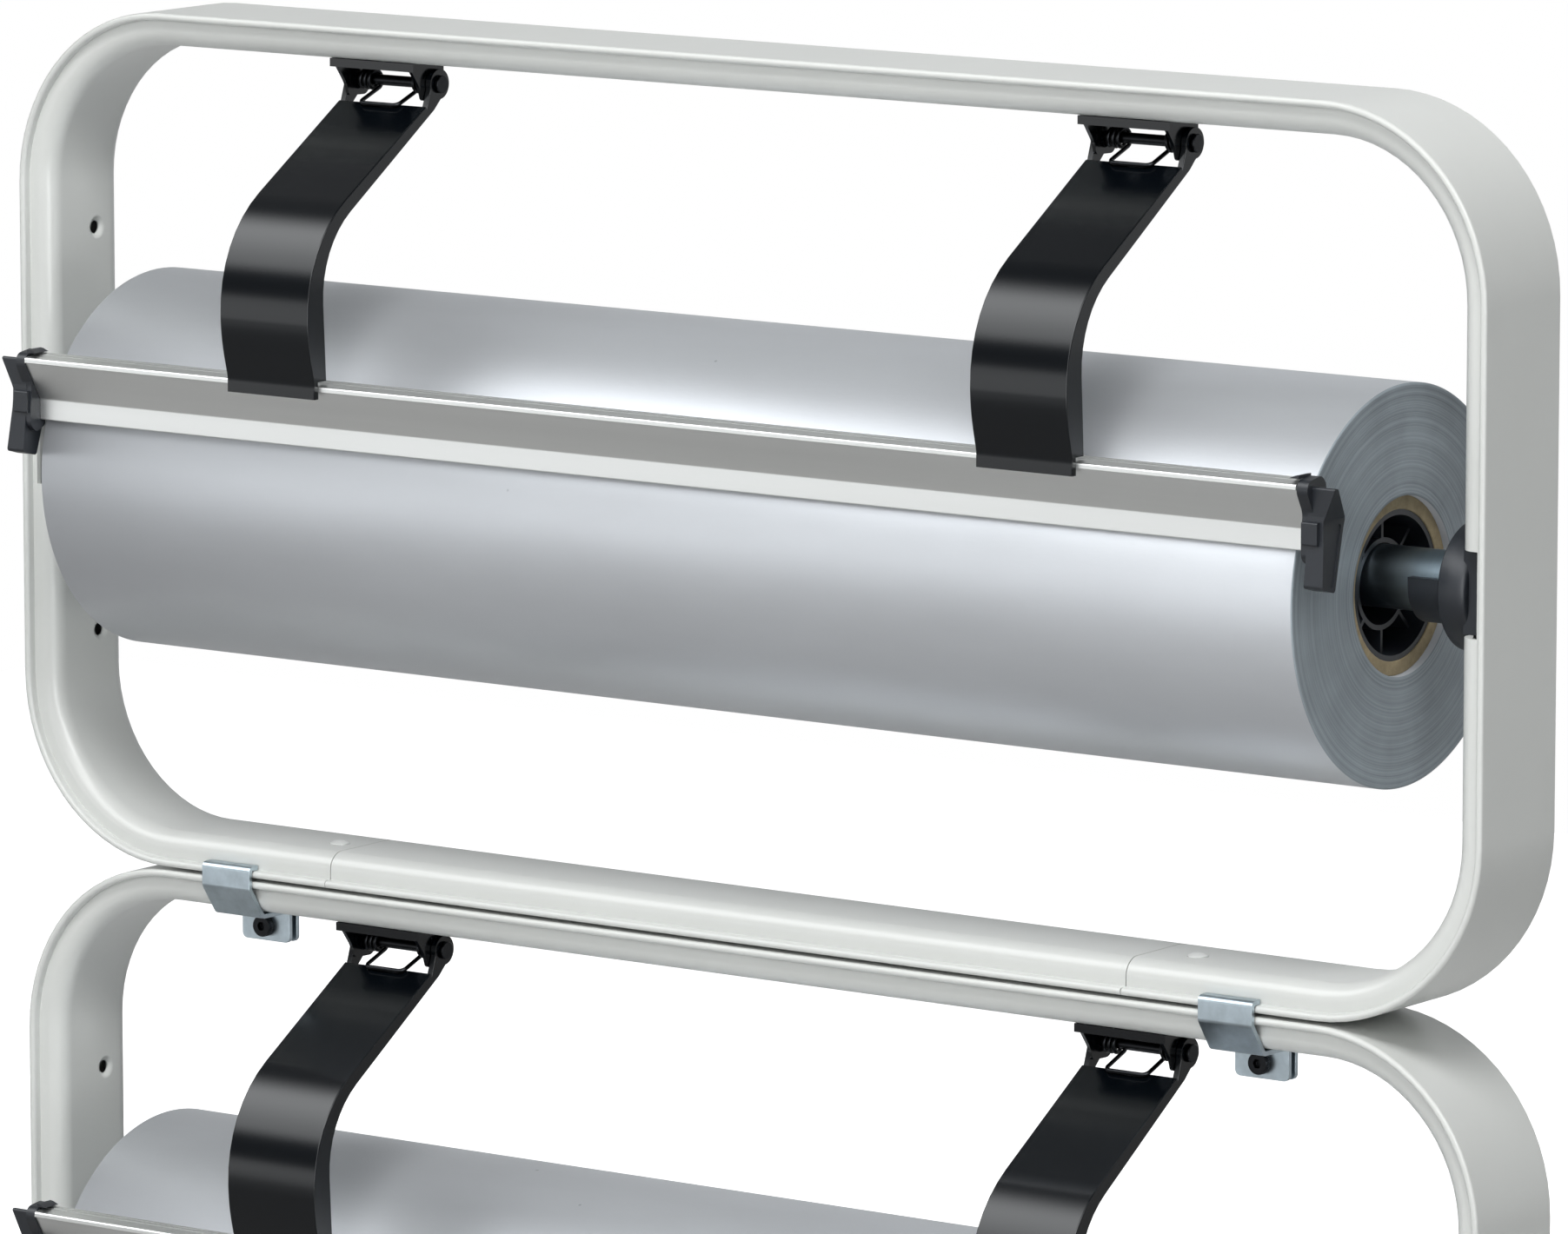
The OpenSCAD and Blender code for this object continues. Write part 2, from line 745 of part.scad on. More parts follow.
function spring_line() =
    let (half = spring_half())
    concat(half, [for (p = reversed(half)) [-p[0], p[1], p[2]]]);

function tangent(line, i) =
    unit(line[min(i + 1, len(line) - 1)] - line[max(i - 1, 0)]);

function square_to(v, t) = unit(v - (v * t) * t);

// A round tube of one piece along a line, with rings carried along without twist
module tube(line, r, sides) {
    n = len(line);
    first = square_to([1, 0, 0.01], tangent(line, 0));
    sideways = [for (i = 0, v = first; i < n;
        i = i + 1, v = i < n ? square_to(v, tangent(line, i)) : v) v];
    points = [for (i = [0:n - 1])
        let (t = tangent(line, i), v = sideways[i], w = cross(t, v))
        for (k = [0:sides - 1])
            line[i] + r * (cos(360 * k / sides) * v + sin(360 * k / sides) * w)];
    walls = [for (i = [0:n - 2])
        for (k = [0:sides - 1])
            let (a = i * sides + k, b = i * sides + (k + 1) % sides)
            for (f = [[a, a + sides, b], [b, a + sides, b + sides]])
                f];
    ends = [for (k = [1:sides - 2])
        for (f = [[0, k, k + 1], [(n - 1) * sides, (n - 1) * sides + k + 1, (n - 1) * sides + k]])
            f];
    polyhedron(points, concat(walls, ends));
}

// Least gap of the spring's wire to itself, measured between points over half a turn apart
function least_gap(line) =
    min([for (i = [0:len(line) - 6])
        for (j = [i + 5:len(line) - 1])
            norm(line[i] - line[j])]) - wire_d;

module torsion_spring() {
    color("#3a3d40")
        translate([0, pin_y, pin_z])
            tube(spring_line(), wire_d / 2, 6);
}

// Right end cap of the tear bar, drawn from the bar's end
module bar_cap() {
    ridge_w = 4;
    ridge = rounded([
        [0.6, bar_top - 1.5],
        [-1.6, bar_top + gap + 0.6, 2.5],
        [lip_y - bar_y + 0.8, bar_top - 0.2, 3],
        [lip_y - bar_y + 0.2, bar_lip_z - 0.6, 4],
        [-6.3, 12.5, 6],
        [-7.1, 4.7, 1.5],
        [-7.1, -1.6, 3],
        [-4.1, -3.9, 2],
        [0.2, -2, 1.5],
        [2.5, 12, 5]
    ]);
    lug = rounded([[-6.3, 10.2, 0.6], [-8.2, 10, 0.6], [-8.2, 2.8, 0.6], [-6.3, 2.6, 0.6]]);
    wing_in = 2.2;
    wing_top = 12.3;
    wing_waist = 8;
    wing_foot = 9.4;
    wing = rounded([
        [-7.2, bar_top - 1.8, 0.8],
        [-5.2, bar_top - 2.2, 0.8],
        [5.6, 10.4, 1.5],
        [-1.9, -12.2, 1.2],
        [-8.8, -10.4, 1.2],
        [-6.9, 4, 2],
        [-6.6, 12, 4]
    ]);
    side = [
        [wing_in, bar_top], [wing_top, bar_top], [wing_top, bar_top - 2.6],
        [wing_waist, 10.5], [wing_waist, 7], [wing_foot, -13.5], [wing_in, -13.5]
    ];
    rim = 0.5;
    panel = rounded([
        [-5.7, 8.4, 0.6],
        [3.6, 8.8, 0.8],
        [-2.8, -10.7, 0.6],
        [-7.5, -9.4, 0.6],
        [-5.7, 4, 1.5]
    ]);
    sunk = [
        [wing_waist - rim, 10.5], [2 * wing_top, 10.5], [2 * wing_top, -13.5],
        [wing_foot - rim, -13.5], [wing_waist - rim, 7]
    ];
    hook_in = 3.4;
    hook_tip = 1.2;
    color("#23272d")
        translate([bar_half, bar_y, bar_z]) {
            difference() {
                intersection() {
                    along_x(4 * wing_top)
                        polygon(wing);
                    translate([0, frame_d / 2, 0])
                        rotate([90, 0, 0])
                            linear_extrude(frame_d)
                                polygon(side);
                }
                intersection() {
                    along_x(6 * wing_top)
                        polygon(panel);
                    translate([0, frame_d / 2, 0])
                        rotate([90, 0, 0])
                            linear_extrude(frame_d)
                                polygon(sunk);
                }
            }
            translate([push_gap + ridge_w / 2, 0, 0])
                along_x(ridge_w)
                    polygon(ridge);
            translate([push_gap + ridge_w / 2 + 1.6, 0, 0])
                along_x(ridge_w + 1.8)
                    polygon(lug);
            translate([0, -1.6, 0])
                rotate([90, 0, 0])
                    linear_extrude(7)
                        polygon([
                            [-hook_in, bar_top + gap],
                            [push_gap, bar_top + gap],
                            [push_gap, bar_top + 1.4],
                            [-hook_tip, bar_top + 1.2]
                        ]);
        }
}

// Sheet of one clamp half, drawn as [y, z] from the middle of the gap between the frames
function clip_outline() =
    let (
        knee_z = -tier_gap / 2 - 2.9,
        path = rounded_path([
            [front + groove_depth - 0.5, hook_z],
            [clip_y, hook_z, clip_t + 0.4],
            [clip_y, knee_z, 2.5],
            [front + 5, under_z, 2.5],
            [-tab_y, under_z, 0.4],
            [-tab_y, tab_z]
        ])
    )
    strip(path, clip_t);

function clip_places() = [-clip_left, clip_right];

module link_sheet() {
    difference() {
        along_x(clip_w)
            polygon(clip_outline());
        translate([0, 0, clamp_z])
            rotate([90, 0, 0])
                cylinder(d = clamp_screw_d + 2 * push_gap, h = frame_d);
        for (s = [-1, 1])
            translate([s * (clip_w / 2 - tab_r), 0, tab_z + tab_r])
                rotate([90, 0, 0])
                    linear_extrude(frame_d, center = true)
                        difference() {
                            translate([s * tab_r, -tab_r])
                                square(2 * tab_r, center = true);
                            circle(r = tab_r, $fn = 32);
                        }
    }
}

module link_hook(x) {
    color("lightslategray")
        translate([x, 0, link_z])
            link_sheet();
}

module link_clamp(x) {
    color("lightslategray")
        translate([x, 0, link_z])
            mirror([0, 1, 0])
                link_sheet();
}

module link_screws() {
    grip = 2 * tab_y + nut_h + 1.5;
    color("#15181c")
        for (x = clip_places())
            translate([x, -tab_y, link_z + clamp_z])
                rotate([-90, 0, 0])
                    difference() {
                        union() {
                            translate([0, 0, -clamp_head_h])
                                cylinder(d = clamp_head_d, h = clamp_head_h);
                            cylinder(d = clamp_screw_d, h = grip);
                        }
                        translate([0, 0, -clamp_head_h - over])
                            cylinder(d = clamp_screw_d * 0.8, h = clamp_head_h * 0.6 + over, $fn = 6);
                    }
}

module link_nuts() {
    color("silver")
        for (x = clip_places())
            translate([x, tab_y, link_z + clamp_z])
                rotate([-90, 0, 0])
                    difference() {
                        cylinder(d = nut_across / cos(30), h = nut_h, $fn = 6);
                        translate([0, 0, -over])
                            cylinder(d = clamp_screw_d + 2 * run_gap, h = nut_h + 2 * over);
                    }
}

module left_side() {
    mirror([1, 0, 0])
        children();
}

module at_left_arm() {
    translate([arm_x - arm_spacing / 2, 0, 0])
        children();
}

module at_right_arm() {
    translate([arm_x + arm_spacing / 2, 0, 0])
        children();
}

// Left core plug: the right one turned round and set at the roll's left end
module left_core_plug() {
    translate([2 * roll_x, 0, 0])
        mirror([1, 0, 0])
            core_plug();
}

echo("least gap of a spring to itself, mm", least_gap(spring_line()));

at_tier(0) frame_hoop();  // lower_frame_hoop
at_tier(0) frame_joiner();  // lower_frame_joiner
at_tier(0) joiner_rivets();  // lower_joiner_rivets
at_tier(0) left_side() roll_holder();  // lower_left_roll_holder
at_tier(0) roll_holder();  // lower_right_roll_holder
at_tier(0) axle_tube();  // lower_axle_tube
at_tier(0) paper_roll();  // lower_paper_roll
at_tier(0) roll_core();  // lower_roll_core
at_tier(0) left_core_plug();  // lower_left_core_plug
at_tier(0) core_plug();  // lower_right_core_plug
at_tier(0) at_left_arm() hinge_bracket();  // lower_left_hinge_bracket
at_tier(0) at_right_arm() hinge_bracket();  // lower_right_hinge_bracket
at_tier(0) bracket_screws();  // lower_bracket_screws
at_tier(0) at_left_arm() hinge_pin();  // lower_left_hinge_pin
at_tier(0) at_right_arm() hinge_pin();  // lower_right_hinge_pin
at_tier(0) at_left_arm() arm();  // lower_left_arm
at_tier(0) at_right_arm() arm();  // lower_right_arm
at_tier(0) at_left_arm() torsion_spring();  // lower_left_torsion_spring
at_tier(0) at_right_arm() torsion_spring();  // lower_right_torsion_spring
at_tier(0) tear_bar();  // lower_tear_bar
at_tier(0) bar_rivets();  // lower_bar_rivets
at_tier(0) left_side() bar_cap();  // lower_left_bar_cap
at_tier(0) bar_cap();  // lower_right_bar_cap
at_tier(1) frame_hoop();  // upper_frame_hoop
at_tier(1) frame_joiner();  // upper_frame_joiner
at_tier(1) joiner_rivets();  // upper_joiner_rivets
at_tier(1) left_side() roll_holder();  // upper_left_roll_holder
at_tier(1) roll_holder();  // upper_right_roll_holder
at_tier(1) axle_tube();  // upper_axle_tube
at_tier(1) paper_roll();  // upper_paper_roll
at_tier(1) roll_core();  // upper_roll_core
at_tier(1) left_core_plug();  // upper_left_core_plug
at_tier(1) core_plug();  // upper_right_core_plug
at_tier(1) at_left_arm() hinge_bracket();  // upper_left_hinge_bracket
at_tier(1) at_right_arm() hinge_bracket();  // upper_right_hinge_bracket
at_tier(1) bracket_screws();  // upper_bracket_screws
at_tier(1) at_left_arm() hinge_pin();  // upper_left_hinge_pin
at_tier(1) at_right_arm() hinge_pin();  // upper_right_hinge_pin
at_tier(1) at_left_arm() arm();  // upper_left_arm
at_tier(1) at_right_arm() arm();  // upper_right_arm
at_tier(1) at_left_arm() torsion_spring();  // upper_left_torsion_spring
at_tier(1) at_right_arm() torsion_spring();  // upper_right_torsion_spring
at_tier(1) tear_bar();  // upper_tear_bar
at_tier(1) bar_rivets();  // upper_bar_rivets
at_tier(1) left_side() bar_cap();  // upper_left_bar_cap
at_tier(1) bar_cap();  // upper_right_bar_cap
link_hook(-clip_left);  // left_link_hook
link_hook(clip_right);  // right_link_hook
link_clamp(-clip_left);  // left_link_clamp
link_clamp(clip_right);  // right_link_clamp
link_screws();
link_nuts();
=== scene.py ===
"""Dresses the two-tier paper roll dispenser: finishes, rounded edges, wound paper, light and camera."""

import json
import logging
import math
import random
from dataclasses import dataclass, field
from enum import Enum
from typing import Any, Iterable, Sequence

import bmesh
import bpy
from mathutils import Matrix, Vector

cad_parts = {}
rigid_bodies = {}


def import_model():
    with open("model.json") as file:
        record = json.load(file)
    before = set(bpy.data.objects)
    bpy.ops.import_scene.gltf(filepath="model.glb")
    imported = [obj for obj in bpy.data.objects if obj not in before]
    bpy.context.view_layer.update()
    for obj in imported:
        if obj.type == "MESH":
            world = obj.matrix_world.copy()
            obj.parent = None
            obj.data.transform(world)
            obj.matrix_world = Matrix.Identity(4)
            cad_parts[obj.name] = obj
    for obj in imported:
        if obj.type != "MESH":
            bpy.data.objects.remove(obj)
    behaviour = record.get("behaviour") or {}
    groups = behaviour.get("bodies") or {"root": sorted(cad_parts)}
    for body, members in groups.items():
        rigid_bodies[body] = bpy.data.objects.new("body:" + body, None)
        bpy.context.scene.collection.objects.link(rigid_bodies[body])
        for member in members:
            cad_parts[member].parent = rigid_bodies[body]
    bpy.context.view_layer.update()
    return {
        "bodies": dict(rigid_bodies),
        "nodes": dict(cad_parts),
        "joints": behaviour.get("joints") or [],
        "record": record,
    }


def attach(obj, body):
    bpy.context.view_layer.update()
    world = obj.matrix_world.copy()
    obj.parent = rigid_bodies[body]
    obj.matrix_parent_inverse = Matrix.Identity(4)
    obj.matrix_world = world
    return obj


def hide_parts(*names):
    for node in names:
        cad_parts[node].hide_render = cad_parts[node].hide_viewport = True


log = logging.getLogger("dispenser")

Tree = bpy.types.NodeTree
Node = bpy.types.Node
Socket = bpy.types.NodeSocket
Triple = tuple[float, float, float]
Stops = tuple[tuple[float, float], ...]

MM = 0.001
# Points closer than this, in metres, are one point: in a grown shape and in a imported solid
GROWN_JOIN = 1e-6
SOLID_JOIN = 2e-6
# A corner lies in a plane that it is this near to, in millimetres
TOUCH = 0.01
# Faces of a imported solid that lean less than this, in degrees, are one face
FLAT_ANGLE = 0.4
# Edges from this angle on, in degrees, get rounded, with this many facets
SHARP_ANGLE = 38.0
ROUND_STEPS = 2
# How strongly large faces pull the shading of the roundings beside them
FACE_WEIGHT = 80
# A turned face is an end face when the part of its normal along the axis is above this
END_FACE = 0.5
# From this metallic value on, a finish is a metal and keeps the default IOR
METAL = 0.5


# Plain helpers


def linear(hex_colour: str) -> tuple[float, float, float, float]:
    """Turns an sRGB hex colour into linear light.

    Args:
        hex_colour: a colour such as "#a0a29b".

    Returns:
        Linear red, green, blue and an alpha of 1.
    """
    parts = [int(hex_colour[i : i + 2], 16) / 255 for i in (1, 3, 5)]
    light = [c / 12.92 if c <= 0.04045 else ((c + 0.055) / 1.055) ** 2.4 for c in parts]
    return (light[0], light[1], light[2], 1.0)


def per_mm(size: float) -> float:
    """Gives the texture scale whose features are size millimetres wide."""
    return 1 / (size * MM)


def add(tree: Tree, kind: str, settings: dict[str | int, Any] | None = None, **links: Socket) -> Node:
    """Adds a node with its settings and links.

    Args:
        tree: the node tree that gets it.
        kind: the node's type name.
        settings: attributes of the node, or values of its inputs by name or index.
        links: sockets to link, named after the input with spaces as underscores, or "i" and its index.

    Returns:
        The new node.
    """
    node = tree.nodes.new(kind)
    for key, value in (settings or {}).items():
        if isinstance(key, str) and hasattr(node, key):
            setattr(node, key, value)
        else:
            node.inputs[key].default_value = value
    for key, socket in links.items():
        slot = int(key[1:]) if key[0] == "i" and key[1:].isdigit() else key.replace("_", " ")
        tree.links.new(socket, node.inputs[slot])
    return node


SOCKETS = {
    int: "NodeSocketInt",
    float: "NodeSocketFloat",
    tuple: "NodeSocketVector",
    bpy.types.Material: "NodeSocketMaterial",
}


def start_tree(name: str, sizes: dict[str, Any]) -> tuple[Tree, Node]:
    """Starts a geometry tree with named inputs.

    Args:
        name: the tree's name.
        sizes: the names of its inputs, with their values.

    Returns:
        The tree and its group input.
    """
    tree = bpy.data.node_groups.new(name, "GeometryNodeTree")
    tree.interface.new_socket("Geometry", in_out="INPUT", socket_type="NodeSocketGeometry")
    for label, value in sizes.items():
        socket = tree.interface.new_socket(label, in_out="INPUT", socket_type=SOCKETS[type(value)])
        socket.default_value = value
    tree.interface.new_socket("Geometry", in_out="OUTPUT", socket_type="NodeSocketGeometry")
    return tree, add(tree, "NodeGroupInput")


def set_down(tree: Tree, start: Node, shape: Socket) -> Socket:
    """Sets copies of a shape down in a row, by the inputs "Count", "First", "Step" and "Turn".

    Args:
        tree: the tree.
        start: its group input.
        shape: the shape.

    Returns:
        The row.
    """
    row = add(
        tree,
        "GeometryNodeMeshLine",
        {},
        Count=start.outputs["Count"],
        Start_Location=start.outputs["First"],
        Offset=start.outputs["Step"],
    )
    placed = add(
        tree,
        "GeometryNodeInstanceOnPoints",
        {},
        Points=row.outputs[0],
        Instance=shape,
        Rotation=start.outputs["Turn"],
    )
    return placed.outputs[0]


def end_tree(tree: Tree, start: Node, shape: Socket) -> None:
    """Ends a geometry tree: real mesh with its material, and with "End material" on marked faces where given.

    Args:
        tree: the tree.
        start: its group input.
        shape: the shape to hand out.
    """
    real = add(tree, "GeometryNodeRealizeInstances", {}, Geometry=shape)
    whole = add(tree, "GeometryNodeMergeByDistance", {"Distance": GROWN_JOIN}, Geometry=real.outputs[0])
    dressed = add(
        tree,
        "GeometryNodeSetMaterial",
        {},
        Geometry=whole.outputs[0],
        Material=start.outputs["Material"],
    )
    if "End material" in start.outputs:
        marked = add(tree, "GeometryNodeInputNamedAttribute", {"data_type": "BOOLEAN", "Name": "end_face"})
        dressed = add(
            tree,
            "GeometryNodeSetMaterial",
            {},
            Geometry=dressed.outputs[0],
            Selection=marked.outputs[0],
            Material=start.outputs["End material"],
        )
    add(tree, "NodeGroupOutput", {}, Geometry=dressed.outputs[0])


def wire_tree(sizes: dict[str, Any]) -> Tree:
    """Gives the tree that sweeps a round section along a line.

    Args:
        sizes: "Wire radius", "Sides" and "Material".

    Returns:
        The tree.
    """
    tree, start = start_tree("round_wire", sizes)
    line = add(tree, "GeometryNodeMeshToCurve", {}, Mesh=start.outputs["Geometry"])
    ring = add(
        tree,
        "GeometryNodeCurvePrimitiveCircle",
        {},
        Resolution=start.outputs["Sides"],
        Radius=start.outputs["Wire radius"],
    )
    swept = add(
        tree,
        "GeometryNodeCurveToMesh",
        {"Fill Caps": True},
        Curve=line.outputs[0],
        Profile_Curve=ring.outputs["Curve"],
    )
    end_tree(tree, start, swept.outputs[0])
    return tree


def turned_tree(sizes: dict[str, Any]) -> Tree:
    """Gives the tree that turns an outline round an axis and sets the result down in a row.

    Args:
        sizes: "Guide radius", "Sides", "Count", "First", "Step", "Turn", "Material" and "End material",
            the last one for the faces square to the axis.

    Returns:
        The tree.
    """
    tree, start = start_tree("turned_row", sizes)
    outline = add(tree, "GeometryNodeMeshToCurve", {}, Mesh=start.outputs["Geometry"])
    guide = add(
        tree,
        "GeometryNodeCurvePrimitiveCircle",
        {},
        Resolution=start.outputs["Sides"],
        Radius=start.outputs["Guide radius"],
    )
    upright = add(tree, "GeometryNodeSetCurveNormal", {"mode": "Z_UP"}, Curve=guide.outputs["Curve"])
    turned = add(
        tree, "GeometryNodeCurveToMesh", {}, Curve=upright.outputs[0], Profile_Curve=outline.outputs[0]
    )
    normal = add(tree, "GeometryNodeInputNormal")
    part = add(tree, "ShaderNodeSeparateXYZ", {}, Vector=normal.outputs[0])
    level = add(tree, "ShaderNodeMath", {"operation": "ABSOLUTE"}, i0=part.outputs["Z"])
    facing = add(
        tree,
        "FunctionNodeCompare",
        {"data_type": "FLOAT", "operation": "GREATER_THAN", 1: END_FACE},
        i0=level.outputs[0],
    )
    mark = add(
        tree,
        "GeometryNodeStoreNamedAttribute",
        {"data_type": "BOOLEAN", "domain": "FACE", "Name": "end_face"},
        Geometry=turned.outputs[0],
        Value=facing.outputs[0],
    )
    end_tree(tree, start, set_down(tree, start, mark.outputs[0]))
    return tree


def knurl_tree(sizes: dict[str, Any]) -> Tree:
    """Gives the tree that sets ribs round the heads of a row of screws.

    Args:
        sizes: "Ribs", "Rib sides", "Head radius", "Rib radius", "Rib length", "Count", "First", "Step",
            "Turn" and "Material".

    Returns:
        The tree.
    """
    tree, start = start_tree("knurled_heads", sizes)
    rib = add(
        tree,
        "GeometryNodeMeshCylinder",
        {},
        Vertices=start.outputs["Rib sides"],
        Radius=start.outputs["Rib radius"],
        Depth=start.outputs["Rib length"],
    )
    rim = add(
        tree,
        "GeometryNodeMeshCircle",
        {},
        Vertices=start.outputs["Ribs"],
        Radius=start.outputs["Head radius"],
    )
    crown = add(tree, "GeometryNodeInstanceOnPoints", {}, Points=rim.outputs[0], Instance=rib.outputs[0])
    both = add(tree, "GeometryNodeJoinGeometry", {}, Geometry=set_down(tree, start, crown.outputs[0]))
    tree.links.new(start.outputs["Geometry"], both.inputs["Geometry"])
    end_tree(tree, start, both.outputs[0])
    return tree


def polyline(name: str, points: Iterable[Sequence[float]], closed: bool = False) -> bpy.types.Mesh:
    """Makes a mesh of edges through points.

    Args:
        name: the mesh's name.
        points: the points, in metres.
        closed: whether the last one is joined to the first.

    Returns:
        The mesh.
    """
    corners = [tuple(p) for p in points]
    count = len(corners)
    mesh = bpy.data.meshes.new(name)
    mesh.from_pydata(corners, [(i, (i + 1) % count) for i in range(count if closed else count - 1)], [])
    return mesh


# Finishes


@dataclass(frozen=True)
class Finish:
    """A finish: what the real surface is and how it scatters light."""

    name: str
    colour: str
    roughness: float
    metallic: float = 0.0
    ior: float = 1.5
    grain_mm: float = 0.6
    grain_depth: float = 0.0
    shade: float = 0.04
    shade_mm: float = 40.0
    # The pattern's values at the darkest and at the lightest shade
    shade_ends: tuple[float, float] = (0.3, 0.7)
    # How much finer the patterns run along each axis
    along: Triple = (1.0, 1.0, 1.0)

    def material(self) -> bpy.types.Material:
        """Gives the material of this finish, built the first time it is asked for."""
        made = bpy.data.materials.get(self.name)
        return made if made else self.build()

    def start(self) -> tuple[bpy.types.Material, Tree, Node, Socket]:
        """Makes the material with its main shader.

        Returns:
            The material, its tree, the main shader and the object coordinates.
        """
        material = bpy.data.materials.new(self.name)
        material.use_nodes = True
        tree = material.node_tree
        tree.nodes.clear()
        values = {"Roughness": self.roughness, "Metallic": self.metallic}
        if self.metallic < METAL:
            values["IOR"] = self.ior
        shader = add(tree, "ShaderNodeBsdfPrincipled", values)
        add(tree, "ShaderNodeOutputMaterial", {}, Surface=shader.outputs["BSDF"])
        place = add(tree, "ShaderNodeTexCoord").outputs["Object"]
        return material, tree, shader, place

    def shades(self, tree: Tree, shader: Node, pattern: Socket) -> Socket:
        """Colours the surface with a faint change of shade.

        Args:
            tree: the material's tree.
            shader: its main shader.
            pattern: the pattern that the shade follows.

        Returns:
            The colour.
        """
        ramp = add(tree, "ShaderNodeValToRGB", {}, Fac=pattern)
        base = linear(self.colour)[:3]
        for element, end, sign in zip(ramp.color_ramp.elements, self.shade_ends, (-1, 1)):
            element.position = end
            element.color = [min(1, c * (1 + sign * self.shade)) for c in base] + [1]
        tree.links.new(ramp.outputs["Color"], shader.inputs["Base Color"])
        return ramp.outputs["Color"]

    def tint(self, tree: Tree, shader: Node, place: Socket, stretch: Triple) -> Socket:
        """Colours the surface with a slow, cloudy change of shade.

        Args:
            tree: the material's tree.
            shader: its main shader.
            place: the coordinates that the shade follows.
            stretch: how much finer the shade runs along each axis.

        Returns:
            The colour.
        """
        mapped = add(tree, "ShaderNodeMapping", {"Scale": stretch}, Vector=place)
        noise = add(
            tree,
            "ShaderNodeTexNoise",
            {"Scale": per_mm(self.shade_mm), "Detail": 4.0, "Roughness": 0.55},
            Vector=mapped.outputs[0],
        )
        return self.shades(tree, shader, noise.outputs["Fac"])

    def relief(self, tree: Tree, shader: Node, height: Socket) -> None:
        """Gives the surface a relief that is grain_depth deep.

        Args:
            tree: the material's tree.
            shader: its main shader.
            height: the relief's pattern.
        """
        bump = add(
            tree, "ShaderNodeBump", {"Strength": 1.0, "Distance": self.grain_depth * MM}, Height=height
        )
        tree.links.new(bump.outputs["Normal"], shader.inputs["Normal"])

    def grain(self, tree: Tree, shader: Node, place: Socket) -> None:
        """Gives the surface its fine relief.

        Args:
            tree: the material's tree.
            shader: its main shader.
            place: the coordinates that the grain follows.
        """
        mapped = add(tree, "ShaderNodeMapping", {"Scale": self.along}, Vector=place)
        noise = add(
            tree,
            "ShaderNodeTexNoise",
            {"Scale": per_mm(self.grain_mm), "Detail": 3.0},
            Vector=mapped.outputs[0],
        )
        self.relief(tree, shader, noise.outputs["Fac"])

    def build(self) -> bpy.types.Material:
        """Builds the material with its shade and its grain."""
        material, tree, shader, place = self.start()
        self.tint(tree, shader, place, self.along)
        self.grain(tree, shader, place)
        return material


@dataclass(frozen=True)
class DrawnFinish(Finish):
    """A finish with fine lines along one axis, such as extruded or drawn metal."""

    along: Triple = (0.02, 1.0, 1.0)


@dataclass(frozen=True)
class RolledPaperFinish(Finish):
    """Satin silver wrapping paper, wound tight, with a few specks of dust."""

    along: Triple = (0.25, 1.0, 1.0)
    cloud_along: Triple = (0.35, 1.0, 1.0)
    speck_mm: float = 26.0
    speck_size: float = 0.035
    speck_core: float = 0.7
    speck_colour: str = "#9fa4a8"

    def build(self) -> bpy.types.Material:
        """Builds the material of the roll's outer sheet."""
        material, tree, shader, place = self.start()
        colour = self.tint(tree, shader, place, self.cloud_along)
        self.grain(tree, shader, place)
        cells = add(
            tree,
            "ShaderNodeTexVoronoi",
            {"Scale": per_mm(self.speck_mm), "Randomness": 1.0},
            Vector=place,
        )
        near = add(
            tree,
            "ShaderNodeMapRange",
            {
                "From Min": self.speck_size * self.speck_core,
                "From Max": self.speck_size,
                "To Min": 1.0,
                "To Max": 0.0,
            },
            Value=cells.outputs["Distance"],
        )
        dusty = add(
            tree,
            "ShaderNodeMix",
            {"data_type": "RGBA", 7: linear(self.speck_colour)},
            i0=near.outputs[0],
            i6=colour,
        )
        tree.links.new(dusty.outputs[2], shader.inputs["Base Color"])
        return material


@dataclass(frozen=True)
class WindingFinish(Finish):
    """The end of a wound roll: hundreds of paper edges in rings about the roll's axis.

    A layer of paper is 0.1 mm thick, too fine to show, so the rings are drawn 1.1 mm wide.
    """

    shade_ends: tuple[float, float] = (0.32, 0.72)
    axis_y: float = 0.0
    axis_z: float = 0.0
    ring_mm: float = 1.1
    cloud_mm: float = 24.0
    cloud_share: float = 0.35

    def build(self) -> bpy.types.Material:
        """Builds the material with rings about the roll's axis."""
        material, tree, shader, place = self.start()
        centred = add(tree, "ShaderNodeMapping", {"Location": (0, -self.axis_y, -self.axis_z)}, Vector=place)
        flat = add(
            tree, "ShaderNodeVectorMath", {"operation": "MULTIPLY", 1: (0, 1, 1)}, i0=centred.outputs[0]
        )
        radius = add(tree, "ShaderNodeVectorMath", {"operation": "LENGTH"}, i0=flat.outputs[0])
        lines = add(tree, "ShaderNodeCombineXYZ", {}, X=radius.outputs["Value"])
        rings = add(
            tree,
            "ShaderNodeTexNoise",
            {"Scale": per_mm(self.ring_mm), "Detail": 3.0, "Roughness": 0.7},
            Vector=lines.outputs[0],
        )
        cloud = add(tree, "ShaderNodeTexNoise", {"Scale": per_mm(self.cloud_mm), "Detail": 3.0}, Vector=place)
        blend = add(
            tree,
            "ShaderNodeMix",
            {"data_type": "FLOAT", "Factor": self.cloud_share},
            A=rings.outputs["Fac"],
            B=cloud.outputs["Fac"],
        )
        self.shades(tree, shader, blend.outputs[0])
        self.relief(tree, shader, rings.outputs["Fac"])
        return material


# Powder coat is a baked polyester film: even, slightly soft in its reflections, with an orange peel of
# about a millimetre.
FRAME_COAT = Finish(
    "silver_grey_powder_coat", "#cfd1ce", 0.3, grain_mm=0.9, grain_depth=0.012, shade=0.015
)
BLACK_COAT = Finish(
    "black_powder_coat", "#05080c", 0.17, ior=1.42, grain_mm=0.7, grain_depth=0.006, shade=0.1
)
